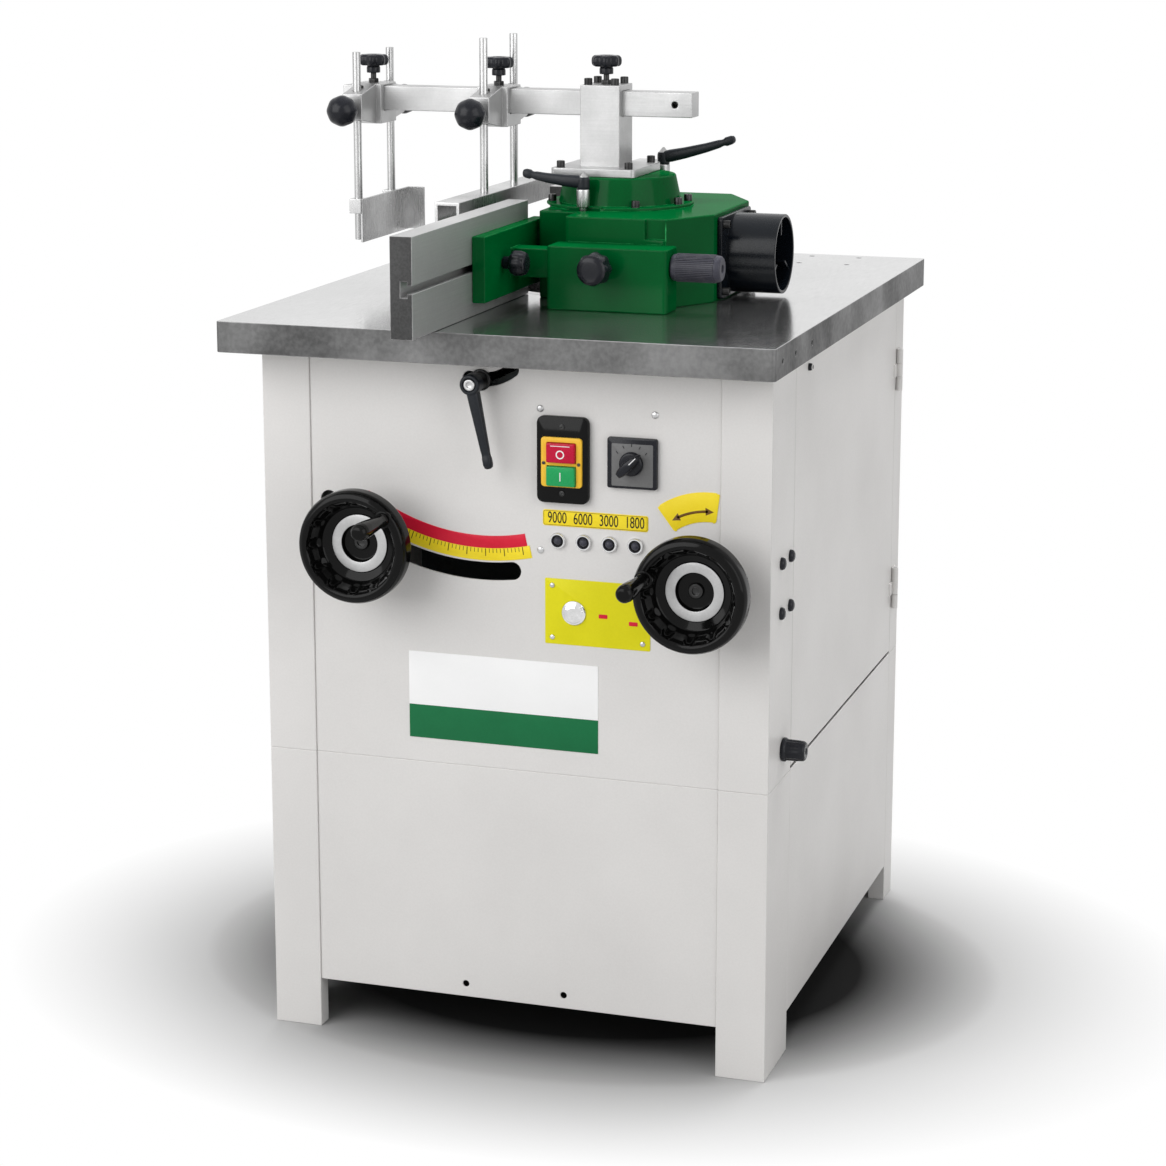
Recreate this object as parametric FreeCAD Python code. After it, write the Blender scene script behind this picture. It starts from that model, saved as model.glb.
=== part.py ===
import FreeCAD, Part
import math
import os

# Floor-standing spindle moulder: a cast table on a sheet-steel cabinet, a spindle unit that
# tilts and rises inside it, and a fence hood with a pressure bar on top.
# Millimetres, +Z up. The operator stands at -Y and +X is on the operator's right.
# Places are measured from the floor under the middle of the table. The finished pieces are
# then moved so that the origin is the middle of the whole machine's footprint.

V = FreeCAD.Vector

# Fits
OVERRUN = 30.0
RUN_FIT = 0.05
SEAT_FIT = 0.02
SLIDE_FIT = 0.3

# Table
TABLE_WIDTH = 660.0
TABLE_DEPTH = 800.0
TABLE_HEIGHT = 866.0
TABLE_EDGE = 36.0
TABLE_PLATE = 18.0
TABLE_RIM = 14.0
TABLE_CORNER = 5.0
SEAT_RIB = 28.0
SEAT_INSET = 1.0
RING_RADIUS = 85.0
RING_THICK = 10.0
RING_BORE = 70.0
RING_LEDGE = 7.0
TAP_RADIUS = 3.4
FEEDER_X = 213.5
FEEDER_Y = 341.0
FEEDER_PITCH_X = 64.0
FEEDER_PITCH_Y = 72.0
EDGE_HOLE_SHARES = (-0.459, -0.386, -0.290)

# Cabinet
CABINET_WIDTH = 612.0
CABINET_DEPTH = 691.0
CABINET_X = 8.5
SEAM_DROP = 519.0
SHEET = 3.0
POST_FACE = 59.0
POST_FRONT_SIDE = 103.0
POST_REAR_SIDE = 45.0
POST_LIP = 22.0
PANEL_RECESS = 2.0
FRONT_PANEL_FOOT = 60.0
SIDE_PANEL_FOOT = 48.0
STAND_HOLE_RADIUS = 4.0
STAND_HOLE_RISE = 16.0
STAND_HOLE_PITCH = 122.0

# Door, hinges and latch
DOOR_GAP = 1.5
DOOR_SILL = 4.0
HINGE_LENGTH = 55.0
HINGE_DROPS = (135.5, 429.5)
HINGE_BARREL = 4.5
HINGE_PIN = 2.5
HINGE_LEAF = 16.0
HINGE_SHEET = 2.0
LATCH_INSET = 39.5
LATCH_DROP = 483.0
LATCH_RADIUS = 14.0
LATCH_TIP_SHARE = 0.8
LATCH_LENGTH = 28.0
LATCH_SHANK = 4.0
LATCH_CAM_LENGTH = 52.0
LATCH_CAM_WIDTH = 14.0
LATCH_CAM_THICK = 4.0
LATCH_SLOT_DEPTH = 10.0
DOOR_STUD = 3.5
DOOR_STUD_HEIGHT = 5.0
DOOR_STUD_SETBACK = 59.5
DOOR_STUD_DROP = 54.0

# Tilt axis and panel slots. Angles are measured from straight down, positive to the right.
SPINDLE_X = -28.0
SLOT_RADIUS = 284.0
SLOT_WIDTH = 21.0
SLOT_ANGLES = (-41.7, 7.4)
LOCK_RADIUS = 61.0
LOCK_SLOT_WIDTH = 16.0
LOCK_SLOT_ANGLES = (-13.0, 38.0)
HEIGHT_WHEEL_ANGLE = -27.9

# Trunnion brackets and cradle
TRUNNION_Y = 100.0
TRUNNION_THICK = 14.0
TRUNNION_INNER = 128.0
TRUNNION_OUTER = 195.0
TRUNNION_SLOT_RADIUS = 160.0
TRUNNION_SLOT_WIDTH = 20.0
TRUNNION_SLOT_ANGLES = (-33.0, 58.0)
TRUNNION_FOOT = 30.0
TRUNNION_FOOT_THICK = 12.0
TRUNNION_FOOT_LENGTH = 60.0
TONGUE_ANGLE = 20.0
TONGUE_SHORT = 2.0
CRADLE_GAP = 2.0
CRADLE_PLATE = 24.0
CRADLE_HALF_WIDTH = 80.0
CRADLE_TOP_DROP = 110.0
CRADLE_FOOT_DROP = 430.0
CRADLE_YOKE = 20.0
CRADLE_CHEEK = 75.0
YOKE_HOLE = 46.0
CRADLE_ARM = 170.0
CRADLE_ARM_DROP = 221.0
WEDGE_INNER = 160.0
WEDGE_ANGLES = (-6.0, 47.0)
LOCK_LUG_RADIUS = 16.0
SHAFT_BOSS_RADIUS = 19.0
SHAFT_BOSS_PROUD = 10.0
WAY_X = 50.0
WAY_BASE = 7.0
WAY_HEAD = 11.0
WAY_HEIGHT = 12.0
WAY_TOP_DROP = 140.0
WAY_FOOT_DROP = 420.0

# Tilt drive: wheel shaft, reduction gears, pinion and toothed sector
TILT_WHEEL_X = 238.5
TILT_WHEEL_DROP = 278.0
SECTOR_MODULE = 3.0
SECTOR_TEETH = 200
PINION_TEETH = 15
SECTOR_WIDTH = 18.0
SECTOR_INNER = 246.0
SECTOR_SPARE_TEETH = 2
TILT_RANGE = (-10.0, 35.0)
DEDENDUM_SHARE = 1.25
REDUCTION_MODULE = 2.0
REDUCTION_TEETH = 75
DRIVER_TEETH = 20
REDUCTION_WIDTH = 12.0
PRESSURE_ANGLE = 20.0
BACKLASH_SHARE = 0.12
DRIVE_SHAFT = 9.0
DRIVE_PLATE = 14.0
DRIVE_PLATE_SETBACK = 43.5
DRIVE_PLATE_HALF = 30.0
DRIVE_INNER_GAP = 15.0
DRIVE_FLANGE = 12.0
DRIVE_LIP_GAP = 4.0
DRIVE_SIDE_GAP = 2.0
CAP_RADIUS = 7.2
CAP_HEIGHT = 6.0
CAP_PITCH_Y = 41.0
CAP_PITCH_Z = 58.0
CAP_SETBACK = 45.5
CAP_DROP = 289.0
CAP_BOLT = 4.0

# Handwheels
WHEEL_RADIUS = 66.0
WHEEL_RIM = 18.0
WHEEL_RIM_DEPTH = 32.0
WHEEL_RIM_ROUND = 8.0
WHEEL_RIM_BACK = 43.0
WHEEL_WEB = 8.0
WHEEL_BOSS = 34.0
WHEEL_FACE = 46.0
WHEEL_SHAFT_END = 27.0
WHEEL_DIMPLE = 22.0
WHEEL_DIMPLE_DEPTH = 8.0
WHEEL_TRIM = 1.5
WHEEL_HUB = 17.0
WHEEL_HUB_BACK = 6.0
HANDLE_CIRCLE = 54.0
HANDLE_RADIUS = 10.5
HANDLE_NECK = 7.0
HANDLE_LENGTH = 74.0
HANDLE_PIN = 4.0
HANDLE_GAP = 0.5
HANDLE_ROUND = 5.0
HEIGHT_HANDLE_ANGLE = 132.0
TILT_HANDLE_ANGLE = -108.0

# Tilt lock lever
LOCK_STUD = 6.0
LOCK_HUB = 12.0
LOCK_HUB_LENGTH = 18.0
LOCK_STANDOFF = 22.0
LOCK_LEVER_LENGTH = 98.0
LOCK_LEVER_ANGLE = 12.0
LOCK_WASHER = 12.5
LOCK_WASHER_THICK = 3.0

# Lift drive
HEIGHT_SHAFT = 10.0
LIFT_SCREW_Y = -30.0
LIFT_SCREW = 10.0
LIFT_JOURNAL = 8.0
BEVEL_TEETH = 16
BEVEL_RADIUS = 18.0
BEVEL_FACE_SHARE = 0.5
BEVEL_TIP = 1.8
BEVEL_ROOT = 2.6
BEVEL_TOOTH_SHARES = (0.62, 0.26)
BEVEL_SEAM_SHARE = 0.2
BEVEL_HUB = 12.0
BEVEL_HUB_LENGTH = 10.0
SCREW_FOOT = 16.0
SCREW_FOOT_HALF = 24.0

# Slide, quill and spindle
SLIDE_TOP_DROP = 176.0
SLIDE_HEIGHT = 135.0
SLIDE_HALF_WIDTH = 76.0
SLIDE_THICK = 26.0
BARREL_RADIUS = 56.0
BARREL_INSET = 5.0
ARM_THICK = 15.0
ARM_HALF_WIDTH = 70.0
NUT_HALF = 18.0
NUT_HEIGHT = 20.0
NUT_DROP = 295.0
QUILL_RADIUS = 40.0
QUILL_TOP_DROP = 24.0
QUILL_FOOT_DROP = 318.0
QUILL_BORE = 24.0
BEARING_RADIUS = 31.0
BEARING_WIDTH = 14.0
BEARING_INSET = 4.0
SPINDLE_RADIUS = 17.5
SPINDLE_TAIL = 12.0
FLANGE_RADIUS = 30.0
FLANGE_THICK = 8.0
FLANGE_GAP = 3.0
ARBOR_RADIUS = 15.0
ARBOR_LENGTH = 66.0
COLLAR_RADIUS = 25.0
COLLAR_HEIGHTS = (20.0, 15.0, 10.0, 10.0, 10.0)
CAP_WASHER = 6.0
CAP_SCREW_RADIUS = 11.0
CAP_SCREW_HEIGHT = 10.0

# Belt drive and motor
MOTOR_Y = 200.0
MOTOR_RADIUS = 75.0
MOTOR_LENGTH = 195.0
MOTOR_FAN = 20.0
MOTOR_SHAFT = 14.0
MOTOR_SHAFT_SEAT = 30.0
MOTOR_FIN_COUNT = 24
MOTOR_FIN_DEPTH = 7.0
MOTOR_FIN_GAP = 9.0
MOTOR_END = 18.0
MOTOR_SPEED = 2840.0
SPINDLE_SPEEDS = (1800.0, 3000.0, 6000.0, 9000.0)
BELT_STEP_COUNT = 2
PULLEY_SUM = 180.0
PULLEY_STEP = 16.0
PULLEY_GAP = 4.0
BELT_WIDTH = 12.0
BELT_THICK = 4.0

# Front panel fittings
SWITCH_X = 71.5
SWITCH_DROP = 146.8
SWITCH_WIDTH = 61.0
SWITCH_HEIGHT = 99.5
SWITCH_THICK = 8.0
SWITCH_ROUND = 9.0
BEZEL_WIDTH = 48.5
BEZEL_HEIGHT = 57.0
BEZEL_DROP = 148.7
BEZEL_THICK = 3.0
BUTTON_WIDTH = 34.0
BUTTON_HEIGHT = 22.4
STOP_DROP = 137.5
START_DROP = 164.4
BUTTON_PROUD = 4.0
BUTTON_DEPTH = 16.0
BUTTON_TRAVEL = 4.0
SWITCH_BODY_DEPTH = 20.0
SWITCH_BODY_MARGIN = 4.0
ROTARY_X = 153.0
ROTARY_DROP = 146.0
ROTARY_SIZE = 58.0
ROTARY_THICK = 6.0
ROTARY_ROUND = 3.0
ROTARY_SHAFT = 4.0
ROTARY_BODY = 21.0
ROTARY_BODY_DEPTH = 28.0
KNOB_DISC = 17.0
KNOB_DISC_THICK = 8.0
KNOB_GRIP = 8.0
KNOB_GRIP_PROUD = 13.0
KNOB_REST_ANGLE = 45.0
LAMP_FIRST_X = 64.2
LAMP_PITCH = 30.7
LAMP_COUNT = 4
LAMP_DROP = 241.5
LAMP_RADIUS = 9.5
LAMP_THICK = 4.0
LAMP_LENS = 6.0
LAMP_BODY = 5.5
LAMP_BODY_DEPTH = 18.0
BOX_WIDTH = 148.0
BOX_HEIGHT = 178.0
BOX_X = 110.8
BOX_DROP = 172.0
BOX_DEPTH = 36.0
BOX_WALL = 1.5
PANEL_SCREW = 4.0
PANEL_SCREW_HEIGHT = 2.0
PANEL_SCREW_X = 67.7
PANEL_SCREW_Z = 82.0
LABEL_THICK = 0.8
SPEED_LABEL = (46.0, 171.0, 206.0, 224.5)
BUTTON_PLATE = (48.4, 174.0, 286.0, 363.0)
NAME_PLATE = (-119.6, 112.0, 386.0, 490.0)
PILOT_X = 83.0
PILOT_DROP = 325.0
PILOT_RADIUS = 14.5
PILOT_HEIGHT = 5.0
SCALE_RADII = (242.0, 271.0)
SCALE_ANGLES = (-35.0, 13.0)
ARROW_X = 242.0
ARROW_DROP = 275.0
ARROW_RADII = (67.0, 101.0)
ARROW_ANGLES = (143.0, 187.0)

# Fence hood
HOOD_LEFT = -40.0
HOOD_RIGHT = 172.0
HOOD_HALF_DEPTH = 150.0
HOOD_CORNER_X = 132.0
HOOD_CORNER_Y = 80.0
NOTCH_X = 8.0
NOTCH_Y = 105.0
HOOD_RISE = 105.0
HOOD_WALL = 10.0
HOOD_DECK = 8.0
HOOD_EDGE_ROUND = 5.0
MOUTH_HALF = 79.0
DOME_X = 30.0
DOME_FLANGE = 90.0
DOME_FLANGE_THICK = 4.0
DOME_BASE = 76.0
DOME_TOP = 68.0
DOME_RISE = 142.0
DOME_WALL = 7.0
RECESS_X = 119.0
RECESS_WIDTH = 24.0
RECESS_DEPTH = 5.0
RECESS_FOOT = 6.0
HOUSING_LEFT = 0.0
HOUSING_RIGHT = 147.0
HOUSING_DEPTH = 45.0
HOUSING_RISE = 75.0
HOUSING_END = 27.0
WING_BACK = -62.0
WING_THICK = 16.0
WING_INNER = 60.0
WING_OUTER = 278.0
WING_RISES = (16.0, 93.0)
ARM_RISE = 53.0
ARM_WIDTH = 30.0
ARM_HEIGHT = 34.0
ARM_REACH = 95.0
FINE_SCREW = 6.0
FINE_KNOB = 16.5
FINE_KNOB_LENGTH = 60.0
FINE_KNOB_GAP = 1.0
FINE_SPARE = 10.0
LOCK_KNOB = 20.0
LOCK_KNOB_X = 67.0
LOCK_KNOB_LENGTH = 40.0
LOCK_KNOB_STUD = 5.0
FENCE_THICK = 26.0
FENCE_HEIGHT = 114.0
FENCE_INNER = 79.0
FENCE_LENGTH = 388.0
FENCE_LIFT = 0.5
FENCE_SLOT_RISE = 56.0
FENCE_SLOT = 9.0
FENCE_SLOT_DEPTH = 6.0
FENCE_TEE = 18.0
FENCE_TEE_DEPTH = 14.0
FENCE_KNOB_Y = 217.0
FENCE_KNOB = 15.0
FENCE_KNOB_LENGTH = 30.0
FENCE_STUD = 4.0
CLAMP_FRONT = (10.0, -85.0)
CLAMP_REAR = (60.0, 85.0)
CLAMP_TRAVEL = 20.0
CLAMP_STUD = 5.0
CLAMP_POST = 8.0
CLAMP_FRONT_POST = 22.0
CLAMP_FRONT_LENGTH = 76.0
CLAMP_FRONT_RISE = 9.0
CLAMP_REAR_POST = 38.0
CLAMP_REAR_LENGTH = 92.0
CLAMP_REAR_RISE = 25.0
CLAMP_HUB_HEIGHT = 16.0
CLAMP_THREAD = 14.0
LEVER_ROOT_WIDTH = 15.0
LEVER_TIP_WIDTH = 11.0
LEVER_THICK_SHARE = 0.6
KNOB_ROUND_SHARE = 0.3

# Dust port
PORT_RISE = 51.0
PORT_RADIUS = 48.0
PORT_WALL = 4.0
PORT_LENGTH = 60.0
PORT_FLANGE = 6.0
PORT_FLANGE_WIDTH = 135.0
PORT_FLANGE_HEIGHT = 98.0
PORT_WEB = 3.0
PORT_WEB_DEPTH = 56.0
PORT_WEB_HEIGHT = 22.0
PORT_HOLE = 42.0

# Pressure bar, its post, carriers and shoes
POST_X = 12.0
POST_WIDTH = 50.0
POST_DEPTH = 54.0
POST_TOP_RISE = 250.0
POST_BASE_WIDTH = 106.0
POST_BASE_DEPTH = 114.0
POST_BASE_THICK = 10.0
BAR_SIZE = 30.0
BAR_WALL = 3.0
BAR_RISE = 227.5
BAR_LEFT = -328.0
BAR_RIGHT = 125.0
BAR_CAP = 4.0
BAR_HOLE = 4.0
BAR_HOLE_INSET = 22.0
STAR_STUD = 3.5
STAR_STUD_LENGTH = 12.0
STAR_NECK = 8.5
STAR_NECK_HEIGHT = 9.0
STAR_RADIUS = 19.0
STAR_HEIGHT = 14.0
STAR_NOTCH = 6.0
STAR_NOTCH_SHARE = 1.18
STAR_LOBES = 6
CARRIER_WIDTH = 40.0
CARRIER_DEPTH = 50.0
CARRIER_TOP = 18.0
CARRIER_FOOT = 31.0
CARRIER_ARM = 26.0
CARRIER_ARM_REACH = 72.0
CARRIER_ARM_TOP_SHARE = 0.2
CARRIER_ARM_FOOT_SHARE = 0.85
CARRIER_XS = (-127.0, -293.0)
ROD_Y = 55.0
ROD_RADIUS = 5.0
INNER_ROD_RISES = (116.0, 306.0)
OUTER_ROD_RISES = (55.0, 286.0)
BALL_RADIUS = 19.0
BALL_NECK = 7.0
BALL_NECK_LENGTH = 16.0
BALL_STUD = 4.0
BALL_DROP = 10.0
INNER_SHOE_WIDTH = 31.0
INNER_SHOE_HALF = 185.0
INNER_SHOE_RISES = (92.0, 120.0)
INNER_SHOE_WALL = 4.0
OUTER_SHOE_RISES = (52.0, 106.0)
OUTER_SHOE_THICK = 3.0
OUTER_SHOE_ENDS = (-62.0, 98.0)
OUTER_SHOE_FOLD = 24.0
OUTER_SHOE_BOSS = 9.0

# Cap screws on the hood
SCREW_RADIUS = 5.0
SCREW_HEIGHT = 8.0
SCREW_INSET = 10.0
POST_SCREW_INSET = 8.0
DOME_SCREW_ANGLES = (15.0, 120.0, 160.0, 200.0, 300.0, 345.0)
PORT_SCREW_INSET = 9.0

# Places worked out from the sizes above
TOP = TABLE_HEIGHT
UNDER = TOP - TABLE_PLATE
SEAT = TOP - TABLE_EDGE
SEAM = TOP - SEAM_DROP
CAB_LEFT = CABINET_X - CABINET_WIDTH / 2
CAB_RIGHT = CABINET_X + CABINET_WIDTH / 2
CAB_FRONT = -CABINET_DEPTH / 2
CAB_REAR = CABINET_DEPTH / 2
PANEL_LEFT = CAB_LEFT + POST_FACE
PANEL_RIGHT = CAB_RIGHT - POST_FACE
PANEL_FACE = CAB_FRONT + PANEL_RECESS
PANEL_BACK = PANEL_FACE + SHEET
DOOR_FRONT = CAB_FRONT + POST_FRONT_SIDE
DOOR_REAR = CAB_REAR - POST_REAR_SIDE
LATCH_Y = DOOR_FRONT - LATCH_INSET
HINGE_X = CAB_RIGHT + HINGE_BARREL
HINGE_Y = DOOR_REAR + HINGE_BARREL
FRONT_PLATE = (-TRUNNION_Y + CRADLE_GAP, -TRUNNION_Y + CRADLE_GAP + CRADLE_PLATE)
TILT_WHEEL_Z = TOP - TILT_WHEEL_DROP
SECTOR_PITCH = SECTOR_MODULE * SECTOR_TEETH / 2
PINION_PITCH = SECTOR_MODULE * PINION_TEETH / 2
REDUCTION_PITCH = REDUCTION_MODULE * REDUCTION_TEETH / 2
DRIVER_PITCH = REDUCTION_MODULE * DRIVER_TEETH / 2
SECTOR_FACE = FRONT_PLATE[0] - SECTOR_WIDTH
DRIVE_FRONT = PANEL_FACE + DRIVE_PLATE_SETBACK
REDUCTION_FRONT = DRIVE_FRONT + DRIVE_PLATE + DRIVE_SIDE_GAP
DRIVE_INNER = SECTOR_FACE - DRIVE_INNER_GAP
SLIDE_TOP = TOP - SLIDE_TOP_DROP
SLIDE_FOOT = SLIDE_TOP - SLIDE_HEIGHT
SLIDE_FACE = FRONT_PLATE[1] + SLIDE_FIT
QUILL_TOP = TOP - QUILL_TOP_DROP
QUILL_FOOT = TOP - QUILL_FOOT_DROP
MOTOR_FOOT = SLIDE_FOOT + ARM_THICK
PULLEY_TOP = QUILL_FOOT - PULLEY_GAP
PULLEY_FOOT = PULLEY_TOP - PULLEY_STEP * len(SPINDLE_SPEEDS)
ARBOR_FOOT = QUILL_TOP + FLANGE_GAP + FLANGE_THICK
BEVEL_BACK = BEVEL_RADIUS + BEVEL_ROOT * math.sqrt(0.5)
DECK = TOP + HOOD_RISE
DECK_UNDER = DECK - HOOD_DECK
DOME_PEAK = TOP + DOME_RISE
ARM_Z = TOP + ARM_RISE
HOUSING_FRONT = -HOOD_HALF_DEPTH - HOUSING_DEPTH
ARM_Y = -HOOD_HALF_DEPTH - HOUSING_DEPTH / 2
WING_FRONT = WING_BACK + WING_THICK
FENCE_FACE = WING_BACK - FENCE_THICK
FENCE_SLOT_Z = TOP + FENCE_SLOT_RISE
PORT_Z = TOP + PORT_RISE
BAR_Z = TOP + BAR_RISE
POST_TOP = TOP + POST_TOP_RISE
WHEEL_FRONT = PANEL_FACE - WHEEL_RIM_BACK - WHEEL_RIM_DEPTH
HANDLE_BASE = WHEEL_FRONT - HANDLE_GAP
HANDLE_TIP = HANDLE_BASE - HANDLE_LENGTH
FOOTPRINT_X = (min(-TABLE_WIDTH / 2, BAR_LEFT), max(TABLE_WIDTH / 2, CAB_RIGHT + LATCH_LENGTH))
FOOTPRINT_Y = (min(HANDLE_TIP, -TABLE_DEPTH / 2), max(TABLE_DEPTH / 2, FENCE_INNER + FENCE_LENGTH))
ORIGIN = V(-sum(FOOTPRINT_X) / 2, -sum(FOOTPRINT_Y) / 2, 0)


# Simple shapes

def box(x0, x1, y0, y1, z0, z1):
    low = V(min(x0, x1), min(y0, y1), min(z0, z1))
    return Part.makeBox(abs(x1 - x0), abs(y1 - y0), abs(z1 - z0), low)


def rod(start, end, radius):
    span = V(*end) - V(*start)
    return Part.makeCylinder(radius, span.Length, V(*start), span)


def cone(start, end, radius_start, radius_end):
    span = V(*end) - V(*start)
    return Part.makeCone(radius_start, radius_end, span.Length, V(*start), span)


def join(shapes):
    shapes = list(shapes)
    whole = shapes[0].fuse(shapes[1:]) if len(shapes) > 1 else shapes[0]
    return whole.removeSplitter()


def group(shapes):
    return Part.makeCompound(list(shapes))


def cut(shape, tools):
    return shape.cut(list(tools))


def turned(shape, centre, axis, degrees):
    copy = shape.copy()
    copy.rotate(V(*centre), V(*axis), degrees)
    return copy


def prism_xy(points, z0, z1):
    corners = [V(x, y, z0) for x, y in points]
    return Part.Face(Part.makePolygon(corners + corners[:1])).extrude(V(0, 0, z1 - z0))


def prism_xz(points, y0, y1):
    corners = [V(x, y0, z) for x, z in points]
    return Part.Face(Part.makePolygon(corners + corners[:1])).extrude(V(0, y1 - y0, 0))


def prism_yz(points, x0, x1):
    corners = [V(x0, y, z) for y, z in points]
    return Part.Face(Part.makePolygon(corners + corners[:1])).extrude(V(x1 - x0, 0, 0))


def rounded(shape, axis, radius):
    # Round the straight edges that run along one axis.
    direction = V(*axis)
    edges = []
    for edge in shape.Edges:
        if isinstance(edge.Curve, Part.Line) and abs(edge.tangentAt(edge.FirstParameter) * direction) > 0.99:
            edges.append(edge)
    return shape.makeFillet(radius, edges)


def on_circle(centre, radius, degrees):
    # A point in the XZ plane, its angle measured from straight down towards +X.
    angle = math.radians(degrees)
    return centre[0] + radius * math.sin(angle), centre[1] - radius * math.cos(angle)


TILT_AXIS = (SPINDLE_X, TOP)
HEIGHT_WHEEL = on_circle(TILT_AXIS, SLOT_RADIUS, HEIGHT_WHEEL_ANGLE)
LOCK_PLACE = on_circle(TILT_AXIS, LOCK_RADIUS, 0)


def countershaft_place():
    # The shaft lies where the pinion meets the sector and the large gear meets the driver.
    reach_x = TILT_WHEEL_X - SPINDLE_X
    reach_z = TILT_WHEEL_DROP
    reach = math.hypot(reach_x, reach_z)
    to_sector = SECTOR_PITCH + PINION_PITCH
    to_driver = REDUCTION_PITCH + DRIVER_PITCH
    cosine = (reach ** 2 + to_sector ** 2 - to_driver ** 2) / (2 * reach * to_sector)
    angle = math.degrees(math.atan2(reach_x, reach_z) - math.acos(cosine))
    return angle, on_circle(TILT_AXIS, to_sector, angle)


MESH_ANGLE, COUNTERSHAFT = countershaft_place()


def ring_sector(centre, radii, angles, y0, y1):
    # A slice of a flat ring about an axis along Y.
    inner, outer = radii
    first, last = angles
    middle = (first + last) / 2

    def at(radius, degrees):
        x, z = on_circle(centre, radius, degrees)
        return V(x, y0, z)

    edges = [
        Part.Arc(at(outer, first), at(outer, middle), at(outer, last)).toShape(),
        Part.LineSegment(at(outer, last), at(inner, last)).toShape(),
        Part.Arc(at(inner, last), at(inner, middle), at(inner, first)).toShape(),
        Part.LineSegment(at(inner, first), at(outer, first)).toShape(),
    ]
    return Part.Face(Part.Wire(edges)).extrude(V(0, y1 - y0, 0))


def arc_slot(radius, width, angles, y0, y1):
    half = width / 2
    ends = []
    for degrees in angles:
        x, z = on_circle(TILT_AXIS, radius, degrees)
        ends.append(rod((x, y0, z), (x, y1, z), half))
    return join([ring_sector(TILT_AXIS, (radius - half, radius + half), angles, y0, y1)] + ends)


# Gears

def tooth_flank(teeth, module):
    # Radius and half angle of one tooth at a few heights, on an involute.
    pitch = module * teeth / 2
    pressure = math.radians(PRESSURE_ANGLE)
    base = pitch * math.cos(pressure)
    half_pitch_angle = math.pi / (2 * teeth) * (1 - BACKLASH_SHARE)
    start = half_pitch_angle + math.tan(pressure) - pressure
    root = pitch - DEDENDUM_SHARE * module
    tip = pitch + module
    flank = []
    for share in (0, 0.3, 0.55, 0.8, 1):
        radius = root + (tip - root) * share
        roll = math.acos(min(1, base / radius))
        flank.append((radius, math.degrees(start - (math.tan(roll) - roll))))
    return flank


def tooth_points(centre, teeth, module, first_angle, count):
    flank = tooth_flank(teeth, module)
    points = []
    for index in range(count):
        middle = first_angle + index * 360 / teeth
        points += [on_circle(centre, radius, middle - half) for radius, half in flank]
        points += [on_circle(centre, radius, middle + half) for radius, half in reversed(flank)]
    return points


def spur_gear(centre, teeth, module, tooth_angle, y0, y1):
    return prism_xz(tooth_points(centre, teeth, module, tooth_angle, teeth), y0, y1)


def bevel_gear(apex, axis, side, first_tooth):
    # A mitre gear: its large end lies BEVEL_RADIUS from the apex along the axis, and side points
    # from the axis to the place where the two gears meet.
    axis = V(*axis)
    side = V(*side)
    lean = math.sqrt(0.5)
    tip_r = BEVEL_RADIUS + BEVEL_TIP * lean
    tip_a = BEVEL_RADIUS - BEVEL_TIP * lean
    root_r = BEVEL_RADIUS - BEVEL_ROOT * lean
    root_a = BEVEL_RADIUS + BEVEL_ROOT * lean
    pitch_length = 2 * math.pi * BEVEL_RADIUS / BEVEL_TEETH
    root_half = pitch_length * BEVEL_TOOTH_SHARES[0] / 2
    tip_half = pitch_length * BEVEL_TOOTH_SHARES[1] / 2
    origin = V(*apex)
    across = axis.cross(side)

    def place(along, out, sideways, scale):
        return origin + (axis * along + side * out + across * sideways) * scale

    sunk = BEVEL_ROOT / 2
    section = [
        (root_a + sunk * lean, root_r - sunk * lean, -root_half),
        (tip_a, tip_r, -tip_half),
        (tip_a, tip_r, tip_half),
        (root_a + sunk * lean, root_r - sunk * lean, root_half),
    ]
    wires = []
    for scale in (1, BEVEL_FACE_SHARE):
        corners = [place(a, r, s, scale) for a, r, s in section]
        wires.append(Part.makePolygon(corners + corners[:1]))
    tooth = Part.makeLoft(wires, True, True)
    turn = 360 / BEVEL_TEETH
    teeth = [turned(tooth, apex, tuple(axis), (index + first_tooth) * turn) for index in range(BEVEL_TEETH)]
    small = origin + axis * (root_a * BEVEL_FACE_SHARE)
    large = origin + axis * root_a
    body = join([
        cone(tuple(small), tuple(large), root_r * BEVEL_FACE_SHARE, root_r),
        rod(tuple(large), tuple(large + axis * sunk), root_r),
        rod(tuple(large), tuple(large + axis * BEVEL_HUB_LENGTH), BEVEL_HUB),
    ])
    return join([turned(body, apex, tuple(axis), (first_tooth + BEVEL_SEAM_SHARE) * turn)] + teeth)


# Table

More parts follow.
